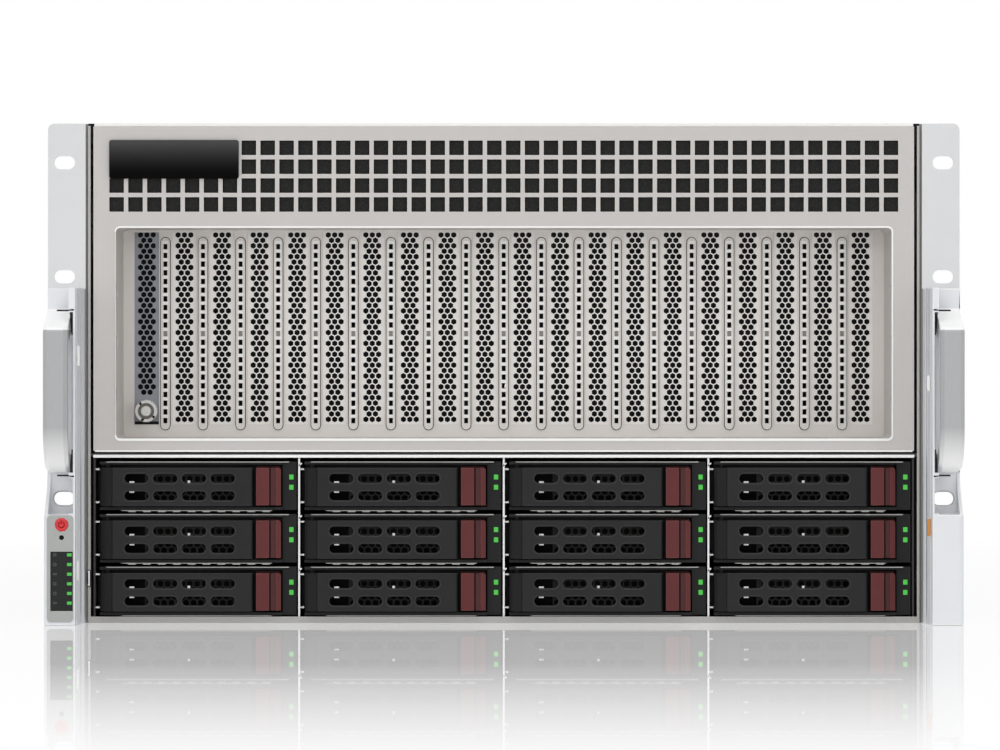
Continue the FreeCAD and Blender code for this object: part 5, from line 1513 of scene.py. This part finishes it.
settle(eased("fan_frames", 0.4), "fan_black", nodes=["fan_frames"])
for number in FAN_NUMBERS:
    rotor = eased(f"fan_rotor_{number}", 0.25)
    settle(rotor, "fan_black", f"rotor_{number}", [f"fan_rotor_{number}"])
guard_parts = [guard_ring(radius) for radius in GUARD_RADII]
guard_parts += [guard_leg(math.radians(45 + 90 * turn)) for turn in range(4)]
for across in (-1, 1):
    for up in (-1, 1):
        corner = (FAN_X + across * SCREW_SPACING, REAR + 0.5, FAN_Z + up * SCREW_SPACING)
        guard_parts.append(crossed_screw("guard_screw", corner, "Y", 3.4, 1.4))
guard = gather("fan_guard_1", guard_parts)
work_on(guard)
bpy.ops.object.shade_smooth_by_angle(angle=math.radians(50))
settle(guard, "turned_nickel")
for number in FAN_NUMBERS[1:]:
    low, high = extent(f"fan_rotor_{number}")
    copy = twin(guard, f"fan_guard_{number}", ((low[0] + high[0]) / 2 - FAN_X, 0, 0))
    settle(copy, None)
print("guards of", len(guard.data.polygons), "faces")

# %% [markdown]
# Four supplies slide in from the rear. The case is zinc, the grip and the inlet are black, and the inlet has
# bright pins. A ribbed latch beside the grip and a lamp are added to each.

# %% Power supplies
SUPPLY_LOW, SUPPLY_HIGH = extent("power_supply_1")
SUPPLY_X, SUPPLY_Z = (SUPPLY_LOW[0] + SUPPLY_HIGH[0]) / 2, SUPPLY_LOW[2]
SUPPLY = (SUPPLY_X, REAR, SUPPLY_Z)
LATCH_RIB = 2.67


def on_supply_grip(point, normal):
    return point[1] > REAR + 0.3


def on_inlet(point, normal):
    across, deep, up = (value - start for value, start in zip(point, SUPPLY))
    return -16.4 < deep < -0.3 and -33.2 < across < -8.8 and 7.8 < up < 32.2


def on_inlet_pin(point, normal):
    across, deep, up = (value - start for value, start in zip(point, SUPPLY))
    return -32.2 < across < -9.8 and 8.8 < up < 31.2 and -15.7 < deep < -2.4


def between_ribs(face):
    return face.normal.x > 0.9 and int((place(face.center)[2] - SUPPLY_Z) / LATCH_RIB) % 2 == 0


supply = coat(eased("power_supply_1", 0.3), "supply_zinc")
paint(supply, "grip_black", on_supply_grip)
paint(supply, "grip_black", on_inlet)
paint(supply, "turned_nickel", on_inlet_pin)
latch = block("supply_latch_1", (32.4, -0.1, 12), (35.4, 9, 28), SUPPLY)
pick(latch, "FACE", lambda face: face.normal.x > 0.9)
bpy.ops.mesh.subdivide(number_cuts=5)
leave()
pick(latch, "FACE", between_ribs)
bpy.ops.mesh.inset(thickness=0.2 * MM, depth=-0.5 * MM, use_individual=False)
leave()
coat(round_over(latch, 0.25), "tab_red")
supply_lamp = rod("supply_lamp_1", (SUPPLY_X - 4, REAR + 0.2, SUPPLY_Z + 37), 1.0, 0.8, 20)
coat(round_over(supply_lamp, 0.2), "green_lamp")
on_every("power_supply", supply, "power_supply", "supply", True)
on_every("power_supply", latch, "supply_latch", "supply")
on_every("power_supply", supply_lamp, "supply_lamp", "supply")
print("4 supplies of", len(supply.data.polygons), "faces")

# %% [markdown]
# The ports of the main board stand in an opening of the rear wall. Their mouths are cut into the copy of the
# board, and a thin shield with a hole for each port and small air holes closes the rest.

# %% Rear ports
PORT_LEFT, PORT_PITCH, PORT_COUNT = (-200.0, 0, 0), 22.0, 7


def on_memory(point, normal):
    return 464 < point[1] < 596 and 9 < point[2] < 41.5 and point[0] < -200.5


board = eased("mainboard", 0)
mouth = block("mouth", (2, 791, 16), (14, 803, 26), PORT_LEFT)
carve(board, row_of(mouth, PORT_COUNT, (PORT_PITCH, 0, 0)))
settle(board, "board_green", nodes=["mainboard"])
paint(board, "supply_zinc", lambda point, normal: point[1] > 765 and point[2] > 9)
paint(board, "drive_silver", lambda point, normal: 479 < point[1] < 581 and point[2] > 9)
paint(board, "card_black", on_memory)
shield = block("port_shield", (-206, 797.4, 14), (-46, 798.6, 50))
port_hole = block("port_hole", (-0.3, 790, 13), (16.3, 803, 28.3), PORT_LEFT)
air_hole = rod("air_hole", (-201, 798, 33.5), 1.7, 6, 6)
row_of(row_of(air_hole, 31, (5, 0, 0)), 3, (0, 0, 5.5))
carve(shield, row_of(port_hole, PORT_COUNT, (PORT_PITCH, 0, 0)), air_hole)
settle(round_over(shield, 0.12), "supply_zinc")
print("shield has", len(shield.data.polygons), "faces")

# %% [markdown]
# What stays inside the closed box, the cards and the board behind the drives, keeps its solid and only gets
# a finish on its own material slot.

# %% Boards inside
coat(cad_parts["gpu_cards"], "card_black")
coat(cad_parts["drive_backplane"], "board_green")
print("inside finished")

# %% [markdown]
# The dressed part has to stay in the box of the solids. Both boxes are printed for comparison.

# %% Sizes and finish
dressed_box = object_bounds()
sizes = {"solid": [list(corner) for corner in solid_box], "dressed": [list(corner) for corner in dressed_box]}
for name, corners in sizes.items():
    print(name, [[round(value, 4) for value in corner] for corner in corners])
